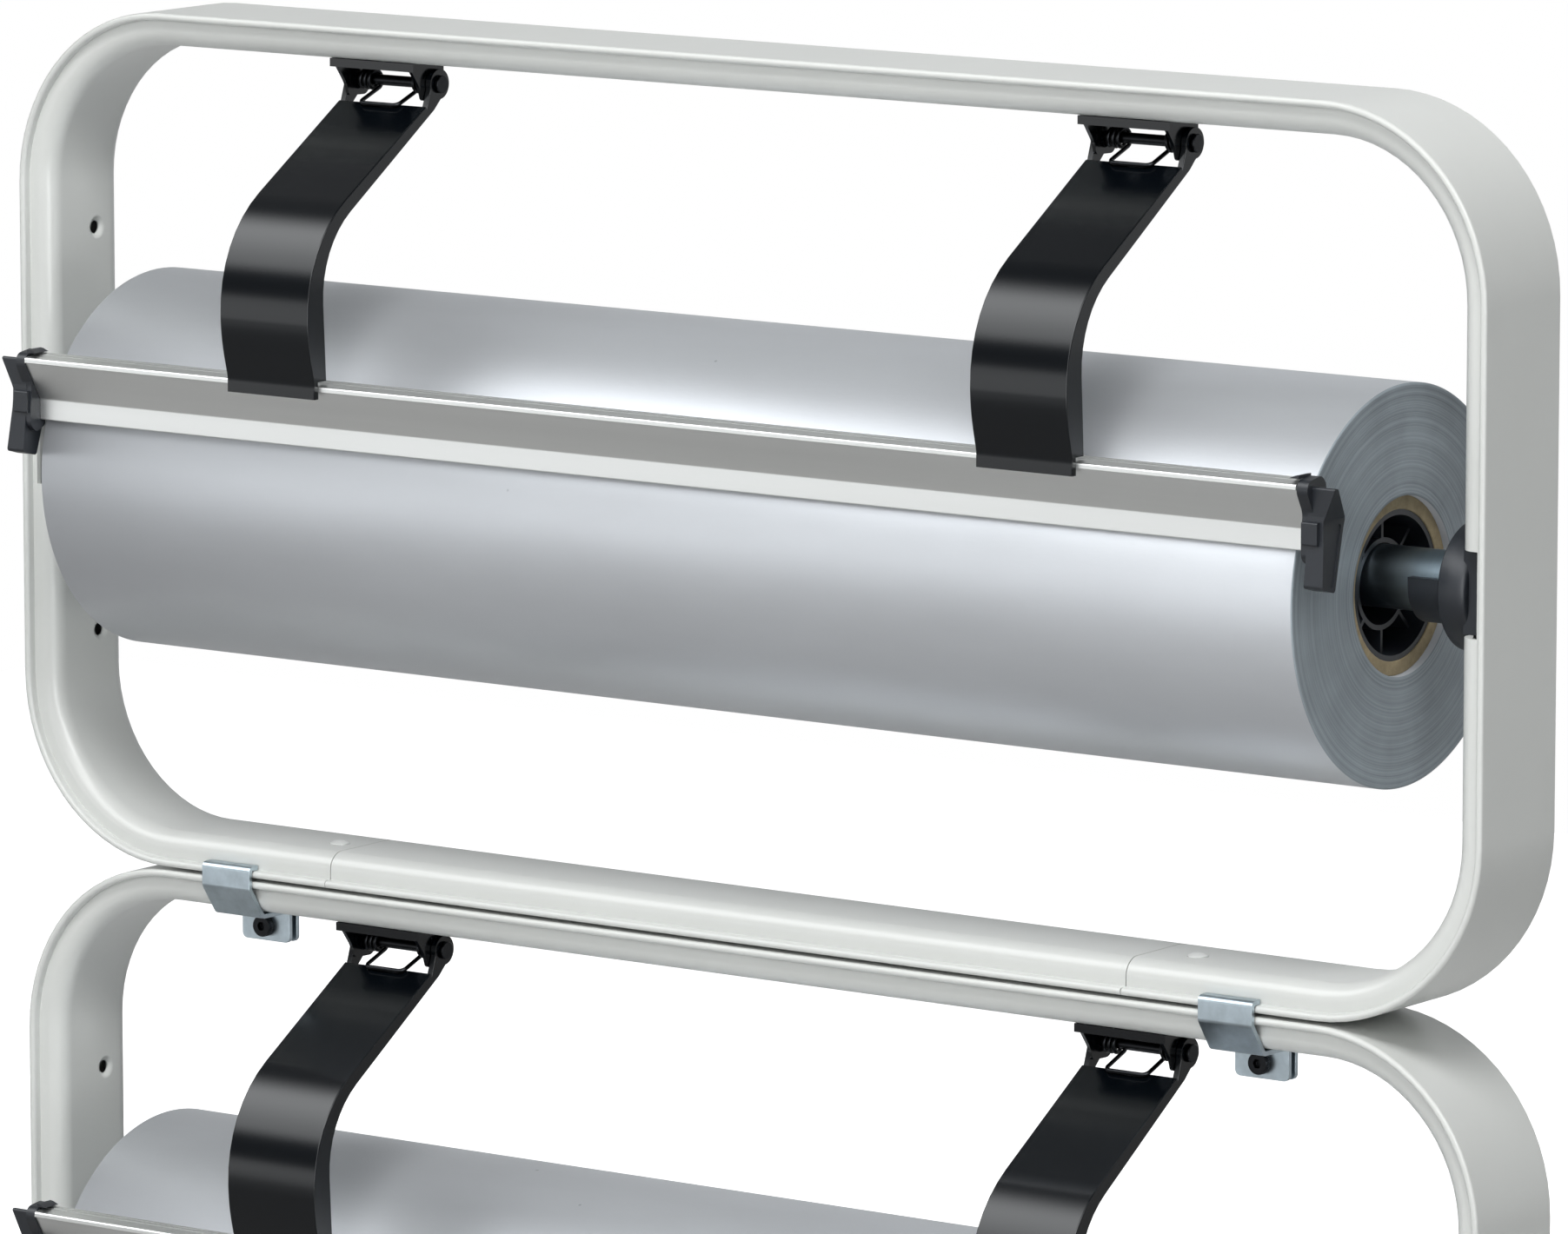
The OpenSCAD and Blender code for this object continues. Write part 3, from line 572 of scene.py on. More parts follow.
# Moulded nylon: dark blue-grey black, dull, with a spark-eroded texture, drawn twice as coarse as it is.
BLACK_NYLON = Finish("moulded_black_nylon", "#1b1e23", 0.42, grain_mm=0.45, grain_depth=0.02, shade=0.08)
# Natural anodised aluminium: a matt white metal with the die's lines along the section. The real lines
# are under 0.1 mm apart and are drawn three times as coarse.
ANODISED_BAR = DrawnFinish(
    "anodised_aluminium",
    "#e4e5e3",
    0.42,
    metallic=1.0,
    grain_mm=0.3,
    grain_depth=0.004,
    shade=0.02,
    shade_mm=8.0,
)
# Bright zinc on drawn tube: bluish, with lines round it from polishing, drawn coarser than they are.
ZINC_TUBE = DrawnFinish(
    "zinc_plated_tube",
    "#95a2aa",
    0.38,
    metallic=1.0,
    grain_mm=0.35,
    grain_depth=0.006,
    shade=0.08,
    shade_mm=6.0,
    along=(1.0, 0.06, 0.06),
)
# Zinc plated sheet: blue passivated, a little cloudy.
ZINC_SHEET = Finish(
    "blue_zinc_plated_sheet",
    "#b4c0c7",
    0.34,
    metallic=1.0,
    grain_mm=0.5,
    grain_depth=0.01,
    shade=0.12,
    shade_mm=5.0,
)
# Zinc on turned screws and nuts: brighter than on sheet.
BRIGHT_ZINC = Finish(
    "zinc_plated_screws", "#bcc1c4", 0.25, metallic=1.0, grain_depth=0.004, shade=0.06, shade_mm=3.0
)
# Black oxide on steel: nearly black, oily sheen.
BLACK_OXIDE = Finish(
    "black_oxide_steel", "#2a2b2d", 0.34, metallic=1.0, grain_depth=0.004, shade=0.15, shade_mm=2.0
)
# Lacquered aluminium rivets: off-white, a little glossy.
WHITE_RIVET = Finish("coated_aluminium_rivets", "#d8dad8", 0.34, grain_depth=0.004, shade=0.02)
# Wound grey-brown board: fibrous, without gloss.
CORE_BOARD = Finish(
    "wound_cardboard", "#a39476", 0.85, grain_mm=0.5, grain_depth=0.06, shade=0.16, shade_mm=3.0
)


# Pieces


class Tier(Enum):
    """The two frames, with the height of each one's middle in metres."""

    LOWER = ("lower", 0.145)
    UPPER = ("upper", 0.4362)

    @property
    def prefix(self) -> str:
        """The first word of the tier's node names."""
        return self.value[0]

    @property
    def height(self) -> float:
        """The height of the frame's middle."""
        return self.value[1]


class Side(Enum):
    """Left and right as seen from the tear bars."""

    LEFT = "left"
    RIGHT = "right"

    @property
    def sign(self) -> int:
        """-1 on the left, 1 on the right."""
        return -1 if self is Side.LEFT else 1


@dataclass
class Workshop:
    """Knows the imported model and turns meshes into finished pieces."""

    frame: dict[str, Any]
    bodies: dict[str, str] = field(default_factory=dict)
    slots: dict[str, str] = field(default_factory=dict)

    def __post_init__(self) -> None:
        """Notes each node's body and material slot."""
        record = self.frame["record"]
        for body, nodes in record["behaviour"]["bodies"].items():
            self.bodies.update({node: body for node in nodes})
        self.slots = {part["node"]: part["material_slot"] for part in record["subparts"]}

    def object(self, name: str, mesh: bpy.types.Mesh) -> bpy.types.Object:
        """Puts a mesh into the scene at the origin.

        Args:
            name: the new object's name.
            mesh: the mesh.

        Returns:
            The object.
        """
        made = bpy.data.objects.new(name, mesh)
        bpy.context.scene.collection.objects.link(made)
        return made

    def from_bmesh(self, name: str, shape: bmesh.types.BMesh) -> bpy.types.Object:
        """Turns a working mesh into an object.

        Args:
            name: the new object's name.
            shape: the working mesh, which is used up.

        Returns:
            The object.
        """
        mesh = bpy.data.meshes.new(name)
        shape.to_mesh(mesh)
        shape.free()
        return self.object(name, mesh)

    def carried(self, node: str) -> bmesh.types.BMesh:
        """Copies a node's solid and joins its loose triangles into whole faces.

        Args:
            node: the node's name.

        Returns:
            A working mesh in the shared frame.
        """
        shape = bmesh.new()
        shape.from_mesh(self.frame["nodes"][node].data)
        bmesh.ops.remove_doubles(shape, verts=shape.verts, dist=SOLID_JOIN)
        bmesh.ops.dissolve_limit(
            shape,
            angle_limit=math.radians(FLAT_ANGLE),
            verts=shape.verts,
            edges=shape.edges,
            delimit={"NORMAL"},
        )
        return shape

    def settle(self, piece: bpy.types.Object) -> None:
        """Turns a piece's modifiers into plain mesh.

        Args:
            piece: the object.
        """
        graph = bpy.context.evaluated_depsgraph_get()
        settled = bpy.data.meshes.new_from_object(
            piece.evaluated_get(graph), preserve_all_data_layers=True, depsgraph=graph
        )
        piece.modifiers.clear()
        piece.data = settled

    def soften(self, piece: bpy.types.Object, width: float, sharp: float = SHARP_ANGLE) -> None:
        """Rounds a piece's sharp edges and shades the rest smooth.

        Args:
            piece: the object.
            width: the rounding in millimetres.
            sharp: the least angle of an edge that gets rounded, in degrees.
        """
        piece.data.shade_smooth()
        bevel = piece.modifiers.new("round", "BEVEL")
        bevel.width = width * MM
        bevel.segments = ROUND_STEPS
        bevel.limit_method = "ANGLE"
        bevel.angle_limit = math.radians(sharp)
        bevel.use_clamp_overlap = True
        bevel.miter_outer = "MITER_ARC"
        flat = piece.modifiers.new("flat", "WEIGHTED_NORMAL")
        flat.keep_sharp = True
        flat.weight = FACE_WEIGHT
        self.settle(piece)

    def grow(self, piece: bpy.types.Object, tree: Tree, sizes: dict[str, Any]) -> None:
        """Runs a geometry tree on a piece and keeps the plain mesh, without empty material slots.

        Args:
            piece: the object.
            tree: the tree.
            sizes: values for its named inputs.
        """
        modifier = piece.modifiers.new("grow", "NODES")
        modifier.node_group = tree
        for socket in tree.interface.items_tree:
            if socket.in_out == "INPUT" and socket.name in sizes:
                modifier[socket.identifier] = sizes[socket.name]
        self.settle(piece)
        for index in reversed(range(len(piece.data.materials))):
            if piece.data.materials[index] is None:
                piece.data.materials.pop(index=index)
        piece.data.shade_smooth()

    def dress(self, piece: bpy.types.Object, finish: Finish, node: str) -> None:
        """Gives a piece its finish and its body, and hides the node that it stands for.

        Args:
            piece: the object.
            finish: the finish of all its faces, unless it has materials.
            node: the node that it replaces.
        """
        if not piece.data.materials:
            piece.data.materials.append(finish.material())
        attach(piece, self.bodies[node])
        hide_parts(node)
        log.info("%s: %d faces", piece.name, len(piece.data.polygons))

    def rounded_copy(self, node: str, finish: Finish, width: float) -> None:
        """Dresses a node as a copy with rounded edges.

        Args:
            node: the node's name.
            finish: its finish.
            width: the rounding in millimetres.
        """
        piece = self.from_bmesh(node + "_skin", self.carried(node))
        self.soften(piece, width)
        self.dress(piece, finish, node)


@dataclass
class FrameTier:
    """One bent frame with its joiner and rivets; millimetres from the frame's middle."""

    shop: Workshop
    tier: Tier
    edge: float = 0.4
    rivet_x: tuple[float, float] = (-172.0, 175.0)
    rivet_y: float = -2.0
    web: float = 133.5
    head_r: float = 3.6
    head_h: float = 1.2
    dome_steps: int = 8
    shank_r: float = 1.95
    shank: float = 3.95
    guide: float = 2.0
    sides: int = 32
    seams: tuple[float, float] = (-162.9, 158.9)
    seam_gap: float = 0.25

    def rivets(self) -> None:
        """Sets the two domed rivets into the bottom bar."""
        ball = (self.head_r**2 + self.head_h**2) / (2 * self.head_h)
        widest = math.asin(self.head_r / ball)
        angles = [widest * i / self.dome_steps for i in range(self.dome_steps + 1)]
        dome = [(ball * math.sin(a), ball * math.cos(a) - ball + self.head_h) for a in angles]
        outline = dome + [(self.shank_r, 0.0), (self.shank_r, -self.shank), (0.0, -self.shank)]
        name = f"{self.tier.prefix}_joiner_rivet_heads"
        left, right = self.rivet_x
        material = WHITE_RIVET.material()
        sizes = {
            "Guide radius": self.guide * MM,
            "Sides": self.sides,
            "Count": 2,
            "First": (left * MM, self.rivet_y * MM, self.tier.height - self.web * MM),
            "Step": ((right - left) * MM, 0.0, 0.0),
            "Turn": (math.pi, 0.0, 0.0),
            "Material": material,
            "End material": material,
        }
        line = polyline(name, [((r - self.guide) * MM, z * MM, 0.0) for r, z in reversed(outline)])
        piece = self.shop.object(name, line)
        self.shop.grow(piece, turned_tree(sizes), sizes)
        self.shop.dress(piece, WHITE_RIVET, f"{self.tier.prefix}_joiner_rivets")

    def joiner(self) -> None:
        """Dresses the joiner, drawn back a little at both seams so that their hairlines show."""
        node = f"{self.tier.prefix}_frame_joiner"
        shape = self.shop.carried(node)
        for seam in self.seams:
            back = math.copysign(self.seam_gap, -seam) * MM
            for corner in shape.verts:
                if abs(corner.co.x - seam * MM) < TOUCH * MM:
                    corner.co.x += back
        piece = self.shop.from_bmesh(node + "_skin", shape)
        self.shop.soften(piece, self.edge)
        self.shop.dress(piece, FRAME_COAT, node)

    def build(self) -> None:
        """Dresses the hoop, the joiner and the rivets."""
        self.shop.rounded_copy(f"{self.tier.prefix}_frame_hoop", FRAME_COAT, self.edge)
        self.joiner()
        self.rivets()


@dataclass
class RollCarrier:
    """The steel tube and the two holders that it lies in."""

    shop: Workshop
    tier: Tier
    tube_edge: float = 0.3
    holder_edge: float = 0.5

    def build(self) -> None:
        """Dresses the tube and the holders."""
        p = self.tier.prefix
        self.shop.rounded_copy(f"{p}_axle_tube", ZINC_TUBE, self.tube_edge)
        for side in Side:
            self.shop.rounded_copy(f"{p}_{side.value}_roll_holder", BLACK_NYLON, self.holder_edge)


@dataclass
class PaperRoll:
    """The wound paper with its core and plugs; millimetres, lengths along the shared frame's x."""

    shop: Workshop
    tier: Tier
    radius: float = 63.94
    bore: float = 28.55
    left_end: float = -253.0
    right_end: float = 247.0
    axis_y: float = 4.5
    axis_drop: float = 8.9
    rings: int = 34
    sides: int = 256
    ragged: tuple[float, float] = (0.02, 0.22)
    lip: float = 0.35
    core_edge: float = 0.3
    plug_edge: float = 0.25
    upper_seed: int = 11
    lower_seed: int = 12

    def outline(self) -> list[Triple]:
        """Gives half the roll's section, layer by layer.

        Returns:
            (radius from the bore, length, 0) of each corner, in metres.
        """
        dice = random.Random(self.upper_seed if self.tier is Tier.UPPER else self.lower_seed)
        step = (self.radius - self.bore) / self.rings
        layers = [self.bore + step * i for i in range(self.rings)]
        left = [(r, self.left_end + dice.uniform(*self.ragged)) for r in layers]
        right = [(r, self.right_end - dice.uniform(*self.ragged)) for r in layers]
        outer = [
            (self.radius - self.lip, self.left_end),
            (self.radius, self.left_end + self.lip),
            (self.radius, self.right_end - self.lip),
            (self.radius - self.lip, self.right_end),
        ]
        return [((r - self.bore) * MM, x * MM, 0.0) for r, x in left + outer + right[::-1]]

    def winding(self, sheet: Finish, ends: Finish) -> bpy.types.Object:
        """Turns the outline round the roll's axis.

        Args:
            sheet: the finish of the outer sheet.
            ends: the finish of the layers' edges.

        Returns:
            The object.
        """
        name = f"{self.tier.prefix}_wound_paper"
        sizes = {
            "Guide radius": self.bore * MM,
            "Sides": self.sides,
            "Count": 1,
            "First": (0.0, self.axis_y * MM, self.tier.height - self.axis_drop * MM),
            "Step": (0.0, 0.0, 0.0),
            "Turn": (0.0, -math.pi / 2, 0.0),
            "Material": sheet.material(),
            "End material": ends.material(),
        }
        piece = self.shop.object(name, polyline(name, self.outline(), closed=True))
        self.shop.grow(piece, turned_tree(sizes), sizes)
        return piece

    def build(self) -> None:
        """Dresses the paper, the core and the plugs."""
        p = self.tier.prefix
        # Metallised satin paper: pale silver, matt, its fibres pulled along the roll. They are finer than
        # 0.1 mm and are drawn 0.9 mm wide.
        sheet = RolledPaperFinish(
            f"satin_silver_paper_{p}",
            "#c3c6ca",
            0.43,
            metallic=0.64,
            grain_mm=0.9,
            grain_depth=0.016,
            shade=0.03,
            shade_mm=30.0,
        )
        # Cut edges of the same paper: darker, rough.
        ends = WindingFinish(
            f"paper_edges_{p}",
            "#949da3",
            0.55,
            metallic=0.35,
            shade=0.4,
            grain_depth=0.12,
            axis_y=self.axis_y * MM,
            axis_z=self.tier.height - self.axis_drop * MM,
        )
        self.shop.dress(self.winding(sheet, ends), sheet, f"{p}_paper_roll")
        self.shop.rounded_copy(f"{p}_roll_core", CORE_BOARD, self.core_edge)
        for side in Side:
            self.shop.rounded_copy(f"{p}_{side.value}_core_plug", BLACK_NYLON, self.plug_edge)


@dataclass
class Cutter:
    """The tear bar with its caps, arms and springs; millimetres, (y, z) pairs from the pin unless said."""

    shop: Workshop
    tier: Tier
    # The arms: the bend's radius, half their width, and where their middles lie along x
    fold: float = 1.9
    fold_steps: int = 5
    arm_half: float = 18.3
    arm_middle: float = 3.5
    arm_spread: float = 150.0
    arm_edge: float = 0.2
    arm_sharp: float = 42.0
    # An edge is on the arm's outer side when it is this near to it
    side_slack: float = 0.2
    # The rolled eye round the pin keeps its edges within this distance
    eye: float = 7.5
    # The pin's y, and its height over the frame's middle
    pin: tuple[float, float] = (-1.2, 125.8)
    # The springs: coil radius, its two ends along x, and its sweep in degrees with the step between points
    coil: float = 2.95
    coil_start: float = 13.8
    coil_end: float = 7.99613
    coil_sweep: float = 1129.4
    coil_step: float = 15.0
    tail_angle: float = 340.0
    tail_top: float = 4.7
    bight: tuple[float, float] = (-9.85359, -6.85475)
    bight_r: float = 2.2
    bend_steps: int = 8
    wire: float = 0.7
    wire_sides: int = 12
    cap_edge: float = 0.45
    bar_edge: float = 0.12
    rivet_edge: float = 0.1

    def wire_half(self) -> list[Triple]:
        """Gives the right half of a spring's line in millimetres from the middle of its pin, tail first."""

        def on_coil(angle: float) -> tuple[float, float]:
            """Gives a point of the coil seen along the pin."""
            return self.coil * math.cos(math.radians(angle)), self.coil * math.sin(math.radians(angle))

        base = on_coil(self.tail_angle)
        lean = math.radians(self.tail_angle + 90)
        length = (self.tail_top - base[1]) / math.sin(lean)
        line = [(self.coil_start, base[0] + length * math.cos(lean), base[1] + length * math.sin(lean))]
        steps = math.ceil(self.coil_sweep / self.coil_step)
        for i in range(steps + 1):
            x = self.coil_start + (self.coil_end - self.coil_start) * i / steps
            line.append((x, *on_coil(self.tail_angle - self.coil_sweep * i / steps)))
        joint = Vector(line[-1][1:])
        bight = Vector(self.bight)
        down = (bight - joint).normalized()
        for i in range(self.bend_steps + 1):
            a = math.radians(90 * i / self.bend_steps)
            at = bight - self.bight_r * down + self.bight_r * math.sin(a) * down
            line.append((self.coil_end - self.bight_r * (1 - math.cos(a)), at[0], at[1]))
        return line

    def spring(self, side: Side) -> None:
        """Winds one double torsion spring.

        Args:
            side: the arm it presses on.
        """
        half = self.wire_half()
        whole = half + [(-x, y, z) for x, y, z in reversed(half)]
        middle = self.arm_middle + side.sign * self.arm_spread
        height = self.tier.height / MM + self.pin[1]
        points = [((middle + x) * MM, (self.pin[0] + y) * MM, (height + z) * MM) for x, y, z in whole]
        node = f"{self.tier.prefix}_{side.value}_torsion_spring"
        sizes = {
            "Wire radius": self.wire * MM,
            "Sides": self.wire_sides,
            "Material": BLACK_OXIDE.material(),
        }
        piece = self.shop.object(node + "_wire", polyline(node + "_wire", points))
        self.shop.grow(piece, wire_tree(sizes), sizes)
        self.shop.dress(piece, BLACK_OXIDE, node)

    def is_fold(self, edge: bmesh.types.BMEdge, centre: float, pin: Vector) -> bool:
        """Tells whether an edge of an arm is a bend of the sheet: front face to side flange, off the eye.

        Args:
            edge: the edge.
            centre: the x of the arm's middle, in metres.
            pin: the pin's place with x at 0, in metres.

        Returns:
            True for a bend.
        """
        square, level, forward = 0.9, 0.3, -0.2
        outer = (self.arm_half - self.side_slack) * MM
        if len(edge.link_faces) != 2 or not all(abs(v.co.x - centre) > outer for v in edge.verts):
            return False
        middle = (edge.verts[0].co + edge.verts[1].co) / 2
        middle.x = 0
        fronts = [f for f in edge.link_faces if abs(f.normal.x) < level]
        flanges = [f for f in edge.link_faces if abs(f.normal.x) > square]
        if len(fronts) != 1 or len(flanges) != 1:
            return False
        return fronts[0].normal.y < forward and (middle - pin).length > self.eye * MM

    def arm(self, side: Side) -> None:
        """Makes one arm as folded sheet: its long front edges get the bend's round.

        Args:
            side: which arm.
        """
        node = f"{self.tier.prefix}_{side.value}_arm"
        shape = self.shop.carried(node)
        centre = (self.arm_middle + side.sign * self.arm_spread) * MM
        pin = Vector((0, self.pin[0] * MM, self.tier.height + self.pin[1] * MM))
        bmesh.ops.bevel(
            shape,
            geom=[edge for edge in shape.edges if self.is_fold(edge, centre, pin)],
            offset=self.fold * MM,
            segments=self.fold_steps,
            profile=0.5,
            affect="EDGES",
            clamp_overlap=True,
        )
        piece = self.shop.from_bmesh(node + "_skin", shape)
        self.shop.soften(piece, self.arm_edge, self.arm_sharp)
        self.shop.dress(piece, BLACK_COAT, node)

    def build(self) -> None:
        """Dresses every piece that swings with the bar, and the springs."""
        p = self.tier.prefix
        for side in Side:
            self.arm(side)
            self.shop.rounded_copy(f"{p}_{side.value}_bar_cap", BLACK_NYLON, self.cap_edge)
            self.spring(side)
        self.shop.rounded_copy(f"{p}_tear_bar", ANODISED_BAR, self.bar_edge)
        self.shop.rounded_copy(f"{p}_bar_rivets", WHITE_RIVET, self.rivet_edge)


@dataclass
class Hinges:
    """The brackets under the top bar with their screws and pins."""

    shop: Workshop
    tier: Tier
    bracket_edge: float = 0.3
    turned_edge: float = 0.25

    def build(self) -> None:
        """Dresses the brackets, pins and screws."""
        p = self.tier.prefix
        for side in Side:
            self.shop.rounded_copy(f"{p}_{side.value}_hinge_bracket", BLACK_COAT, self.bracket_edge)
            self.shop.rounded_copy(f"{p}_{side.value}_hinge_pin", BLACK_OXIDE, self.turned_edge)
        self.shop.rounded_copy(f"{p}_bracket_screws", BRIGHT_ZINC, self.turned_edge)


@dataclass
class TierLink:
    """The sheet clamps that hold the two frames together; millimetres in the shared frame."""

    shop: Workshop
    screw_x: tuple[float, float] = (-203.6, 200.0)
    screw_z: float = 271.3
    head_y: tuple[float, float] = (-5.5, -2.7)
    head_r: float = 3.45
    ribs: int = 36
    rib_sides: int = 6
    rib_r: float = 0.22
    # How much shorter the ribs are than the head
    rib_margin: float = 0.7
    sheet_edge: float = 0.2
    nut_edge: float = 0.3

    def screws(self) -> None:
        """Dresses the socket-head screws and sets the knurl's ribs round their heads."""
        node = "link_screws"
        piece = self.shop.from_bmesh(node + "_skin", self.shop.carried(node))
        self.shop.soften(piece, self.sheet_edge)
        left, right = self.screw_x
        outer, inner = self.head_y
        sizes = {
            "Ribs": self.ribs,
            "Rib sides": self.rib_sides,
            "Head radius": self.head_r * MM,
            "Rib radius": self.rib_r * MM,
            "Rib length": (inner - outer - self.rib_margin) * MM,
            "Count": 2,
            "First": (left * MM, (outer + inner) / 2 * MM, self.screw_z * MM),
            "Step": ((right - left) * MM, 0.0, 0.0),
            "Turn": (math.pi / 2, 0.0, 0.0),
            "Material": BLACK_OXIDE.material(),
        }
        self.shop.grow(piece, knurl_tree(sizes), sizes)
        self.shop.dress(piece, BLACK_OXIDE, node)

    def build(self) -> None:
        """Dresses the clamps, their screws and nuts."""
        for side in Side:
            for half in ("hook", "clamp"):
                self.shop.rounded_copy(f"{side.value}_link_{half}", ZINC_SHEET, self.sheet_edge)
        self.screws()
        self.shop.rounded_copy("link_nuts", BRIGHT_ZINC, self.nut_edge)


# Stage


@dataclass(frozen=True)
class SoftBox:
    """A soft box: its place and size in metres, its power in watts."""

    name: str
    place: Triple
    size: tuple[float, float]
    power: float

    def hang(self, aim: Triple) -> None:
        """Hangs the soft box, unseen in reflections.

        Args:
            aim: the point that it faces.
        """
        data = bpy.data.lights.new(self.name, "AREA")
        data.shape = "RECTANGLE"
        data.size, data.size_y = self.size
        data.energy = self.power
        made = bpy.data.objects.new(self.name, data)
        made.location = self.place
        made.rotation_euler = (Vector(aim) - Vector(self.place)).to_track_quat("-Z", "Y").to_euler()
        made.visible_glossy = False
        bpy.context.scene.collection.objects.link(made)


@dataclass
class Studio:
    """The pale floor, the soft light and the camera at the photograph's angle."""

    eye: Triple = (2.00959, -2.75606, 0.93255)
    turn: Triple = (81.05, 0.03, 35.94)
    lens: float = 243.2
    sensor: float = 36.0
    far: float = 200.0
    floor_half: float = 1.7
    floor_paint: float = 0.75
    floor_glow: float = 0.85
    # What the floor shows in reflections
    floor_grey: float = 0.4
    aim: Triple = (0.0, 0.0, 0.4)
    lamps: tuple[SoftBox, ...] = (
        SoftBox("key", (0.85, -1.4, 2.7), (1.4, 1.0), 60.0),
        SoftBox("fill", (0.3, -1.9, 1.1), (0.8, 0.8), 13.0),
        SoftBox("top", (0.0, -0.3, 3.2), (2.4, 2.4), 6.0),
    )
    # The world's brightness: pairs of a part of the direction, from -1 to 1, and the brightness there.
    # Two long lamps, by height
    strips: Stops = (
        (-0.31, 0.0), (-0.2, 0.8), (-0.1, 1.75), (0.03, 1.8), (0.12, 0.1),
        (0.33, 0.1), (0.47, 3.6), (0.73, 5.4), (0.87, 0.1),
    )
    # One narrow upright lamp at the right, by x
    upright: Stops = ((-1.0, 0.0), (0.55, 0.0), (0.66, 6.5), (0.78, 6.5), (0.88, 0.0), (1.0, 0.0))
    # How much of these lamps hangs in front and behind, by y
    front: Stops = ((-1.0, 1.0), (-0.32, 1.0), (-0.02, 0.05), (1.0, 0.05))
    # A pale backdrop behind, dark room elsewhere, by y
    back: Stops = ((-1.0, 0.08), (0.3, 0.08), (0.62, 0.3), (1.0, 0.8))
    # Soft light for matt faces: by x, and more from above than from below
    sides: Stops = ((-1.0, 0.26), (0.0, 0.28), (1.0, 0.22))
    rise: Stops = ((-1.0, 0.6), (0.0, 0.9), (0.6, 1.1), (1.0, 1.2))
    room_tint: tuple[float, float, float, float] = (0.98, 1.0, 1.015, 1.0)
    white: tuple[float, float, float, float] = (1.0, 1.0, 1.0, 1.0)

    def camera(self) -> None:
        """Makes the camera."""
        data = bpy.data.cameras.new("camera")
        data.lens = self.lens
        data.sensor_width = self.sensor
        data.clip_end = self.far
        made = bpy.data.objects.new("camera", data)
        made.location = self.eye
        made.rotation_euler = [math.radians(a) for a in self.turn]
        bpy.context.scene.collection.objects.link(made)
        bpy.context.scene.camera = made

    def ramp(self, tree: Tree, value: Socket, stops: Stops, smooth: bool = True) -> Socket:
        """Turns a part of a direction into a brightness.

        Args:
            tree: the world's tree.
            value: a number from -1 to 1.
            stops: pairs of a number from -1 to 1 and its brightness.
            smooth: whether the steps between the stops are eased.

        Returns:
            The brightness.
        """
        top = max(light for _, light in stops)
        scaled = add(tree, "ShaderNodeMapRange", {"From Min": -1.0, "From Max": 1.0}, Value=value)
        made = add(tree, "ShaderNodeValToRGB", {}, Fac=scaled.outputs[0])
        made.color_ramp.interpolation = "EASE" if smooth else "LINEAR"
        while len(made.color_ramp.elements) < len(stops):
            made.color_ramp.elements.new(0.5)
        for element, (position, light) in zip(made.color_ramp.elements, stops):
            element.position = (position + 1) / 2
            element.color = (light / top, light / top, light / top, 1)
        level = add(tree, "ShaderNodeMath", {"operation": "MULTIPLY", 1: top}, i0=made.outputs["Color"])
        return level.outputs[0]

    def world(self) -> None:
        """Makes the surroundings: white to the camera, soft room light, and lamps in reflections."""
        world = bpy.data.worlds.new("studio")
        bpy.context.scene.world = world
        world.use_nodes = True
        tree = world.node_tree
        tree.nodes.clear()
        way = add(tree, "ShaderNodeTexCoord").outputs["Generated"]
        split = add(tree, "ShaderNodeSeparateXYZ", {}, Vector=way)
        x, y, z = (split.outputs[axis] for axis in "XYZ")
        level = self.ramp(tree, z, self.strips)
        side = self.ramp(tree, x, self.upright)
        facing = self.ramp(tree, y, self.front)
        backdrop = self.ramp(tree, y, self.back)
        lamps = add(tree, "ShaderNodeMath", {"operation": "ADD"}, i0=level, i1=side)
        hung = add(tree, "ShaderNodeMath", {"operation": "MULTIPLY"}, i0=lamps.outputs[0], i1=facing)
        lit = add(tree, "ShaderNodeMath", {"operation": "ADD"}, i0=hung.outputs[0], i1=backdrop)
        sideways = self.ramp(tree, x, self.sides, smooth=False)
        rise = self.ramp(tree, z, self.rise, smooth=False)
        soft = add(tree, "ShaderNodeMath", {"operation": "MULTIPLY"}, i0=sideways, i1=rise)
        ray = add(tree, "ShaderNodeLightPath")
        seen = add(
            tree,
            "ShaderNodeMix",
            {"data_type": "FLOAT"},
            Factor=ray.outputs["Is Glossy Ray"],
            A=soft.outputs[0],
            B=lit.outputs[0],
        )
        room = add(tree, "ShaderNodeBackground", {"Color": self.room_tint}, Strength=seen.outputs[0])
        white = add(tree, "ShaderNodeBackground", {"Color": self.white, "Strength": 1.0})
        mixed = add(
            tree,
            "ShaderNodeMixShader",
            {},
            i0=ray.outputs["Is Camera Ray"],
            i1=room.outputs[0],
            i2=white.outputs[0],
        )
        add(tree, "ShaderNodeOutputWorld", {}, Surface=mixed.outputs[0])

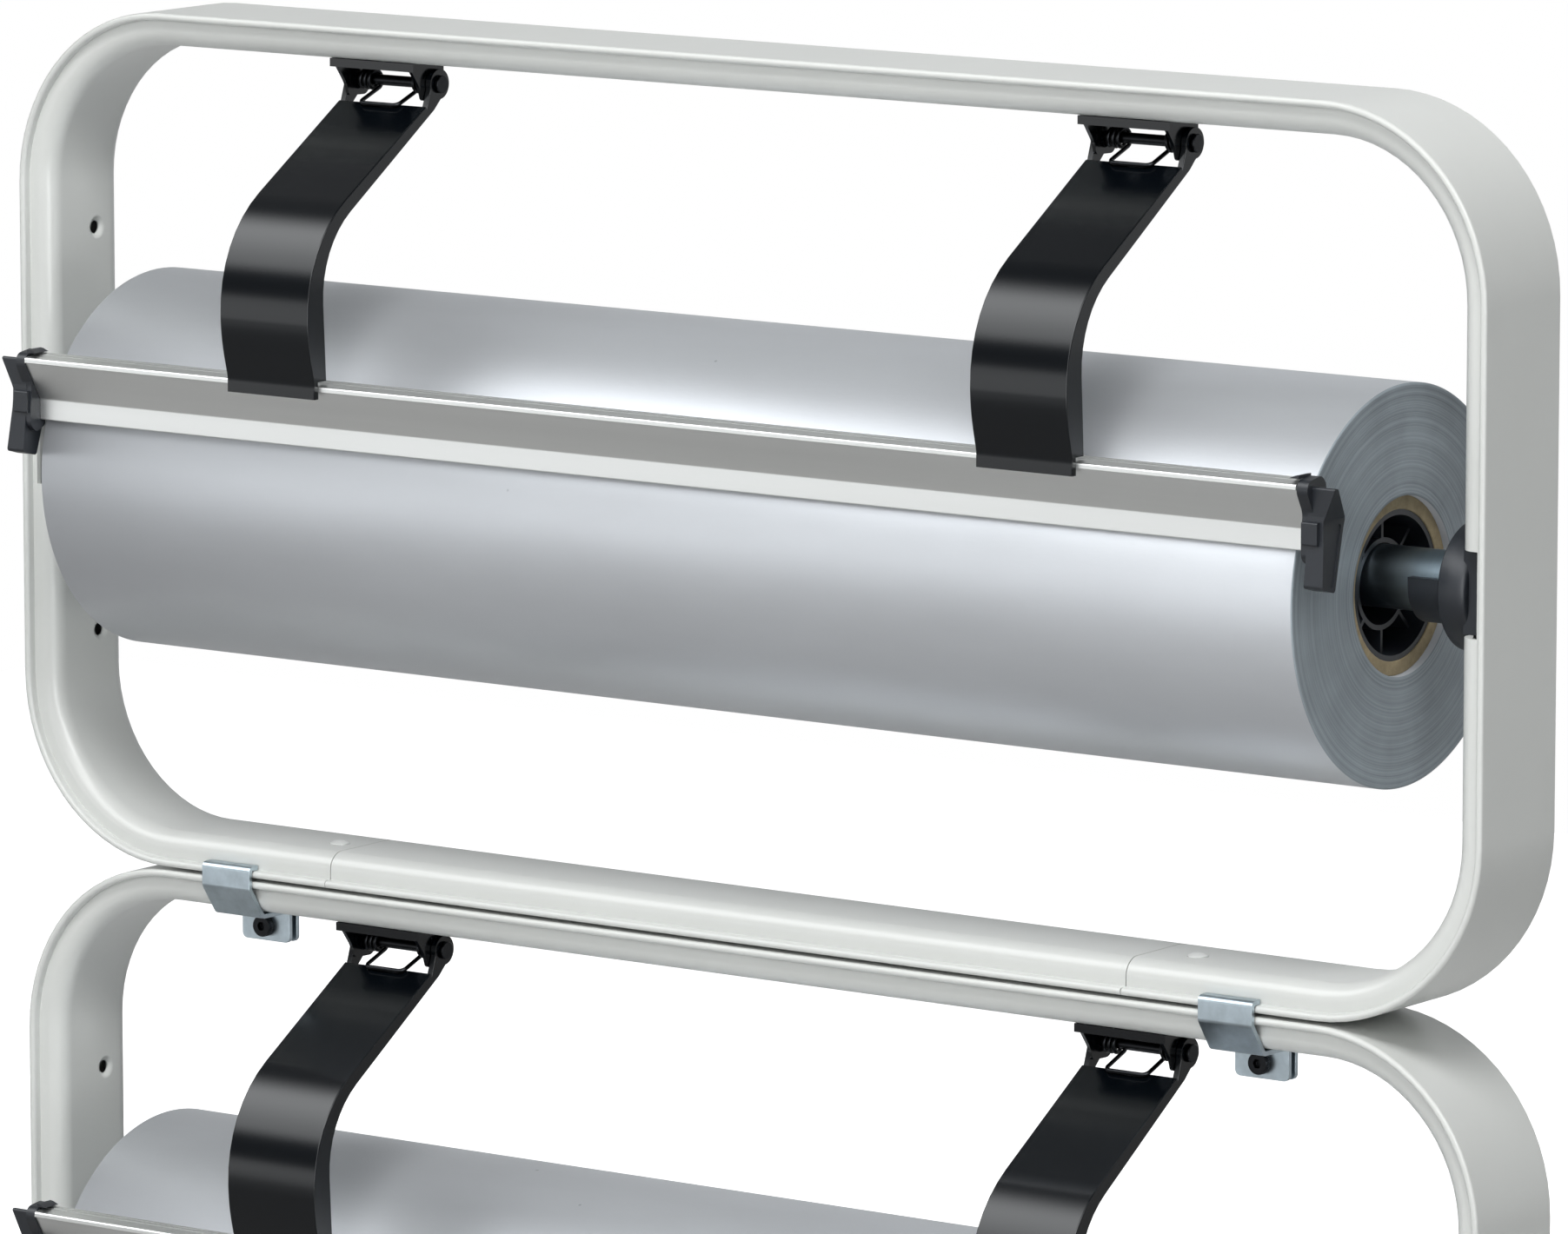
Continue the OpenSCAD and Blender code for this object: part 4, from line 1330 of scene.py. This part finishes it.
    def floor(self) -> None:
        """Makes the pale floor: near white to the camera, a plain grey in reflections."""
        shape = bmesh.new()
        bmesh.ops.create_grid(shape, x_segments=1, y_segments=1, size=self.floor_half)
        mesh = bpy.data.meshes.new("floor")
        shape.to_mesh(mesh)
        shape.free()
        made = bpy.data.objects.new("floor", mesh)
        bpy.context.scene.collection.objects.link(made)
        material = bpy.data.materials.new("pale_floor")
        material.use_nodes = True
        tree = material.node_tree
        tree.nodes.clear()
        paint = add(tree, "ShaderNodeBsdfDiffuse", {"Color": (*[self.floor_paint] * 3, 1)})
        glow = add(tree, "ShaderNodeEmission", {"Color": self.white, "Strength": self.floor_glow})
        mirrored = add(tree, "ShaderNodeEmission", {"Color": self.white, "Strength": self.floor_grey})
        ray = add(tree, "ShaderNodeLightPath")
        lit = add(tree, "ShaderNodeAddShader", {}, i0=paint.outputs[0], i1=glow.outputs[0])
        shown = add(
            tree,
            "ShaderNodeMixShader",
            {},
            i0=ray.outputs["Is Camera Ray"],
            i1=paint.outputs[0],
            i2=lit.outputs[0],
        )
        mixed = add(
            tree,
            "ShaderNodeMixShader",
            {},
            i0=ray.outputs["Is Glossy Ray"],
            i1=shown.outputs[0],
            i2=mirrored.outputs[0],
        )
        add(tree, "ShaderNodeOutputMaterial", {}, Surface=mixed.outputs[0])
        mesh.materials.append(material)

    def build(self) -> None:
        """Makes the stage."""
        self.camera()
        self.world()
        self.floor()
        for lamp in self.lamps:
            lamp.hang(self.aim)
        bpy.context.scene.view_settings.view_transform = "Standard"


def main() -> None:
    """Builds the classes in order."""
    logging.basicConfig(level=logging.INFO, format="%(name)s: %(message)s")
    for leftover in list(bpy.data.objects):
        bpy.data.objects.remove(leftover)
    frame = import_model()
    shop = Workshop(frame)
    for tier in Tier:
        FrameTier(shop, tier).build()
        RollCarrier(shop, tier).build()
        PaperRoll(shop, tier).build()
        Cutter(shop, tier).build()
        Hinges(shop, tier).build()
    TierLink(shop).build()
    Studio().build()


if __name__ == "__main__":
    main()
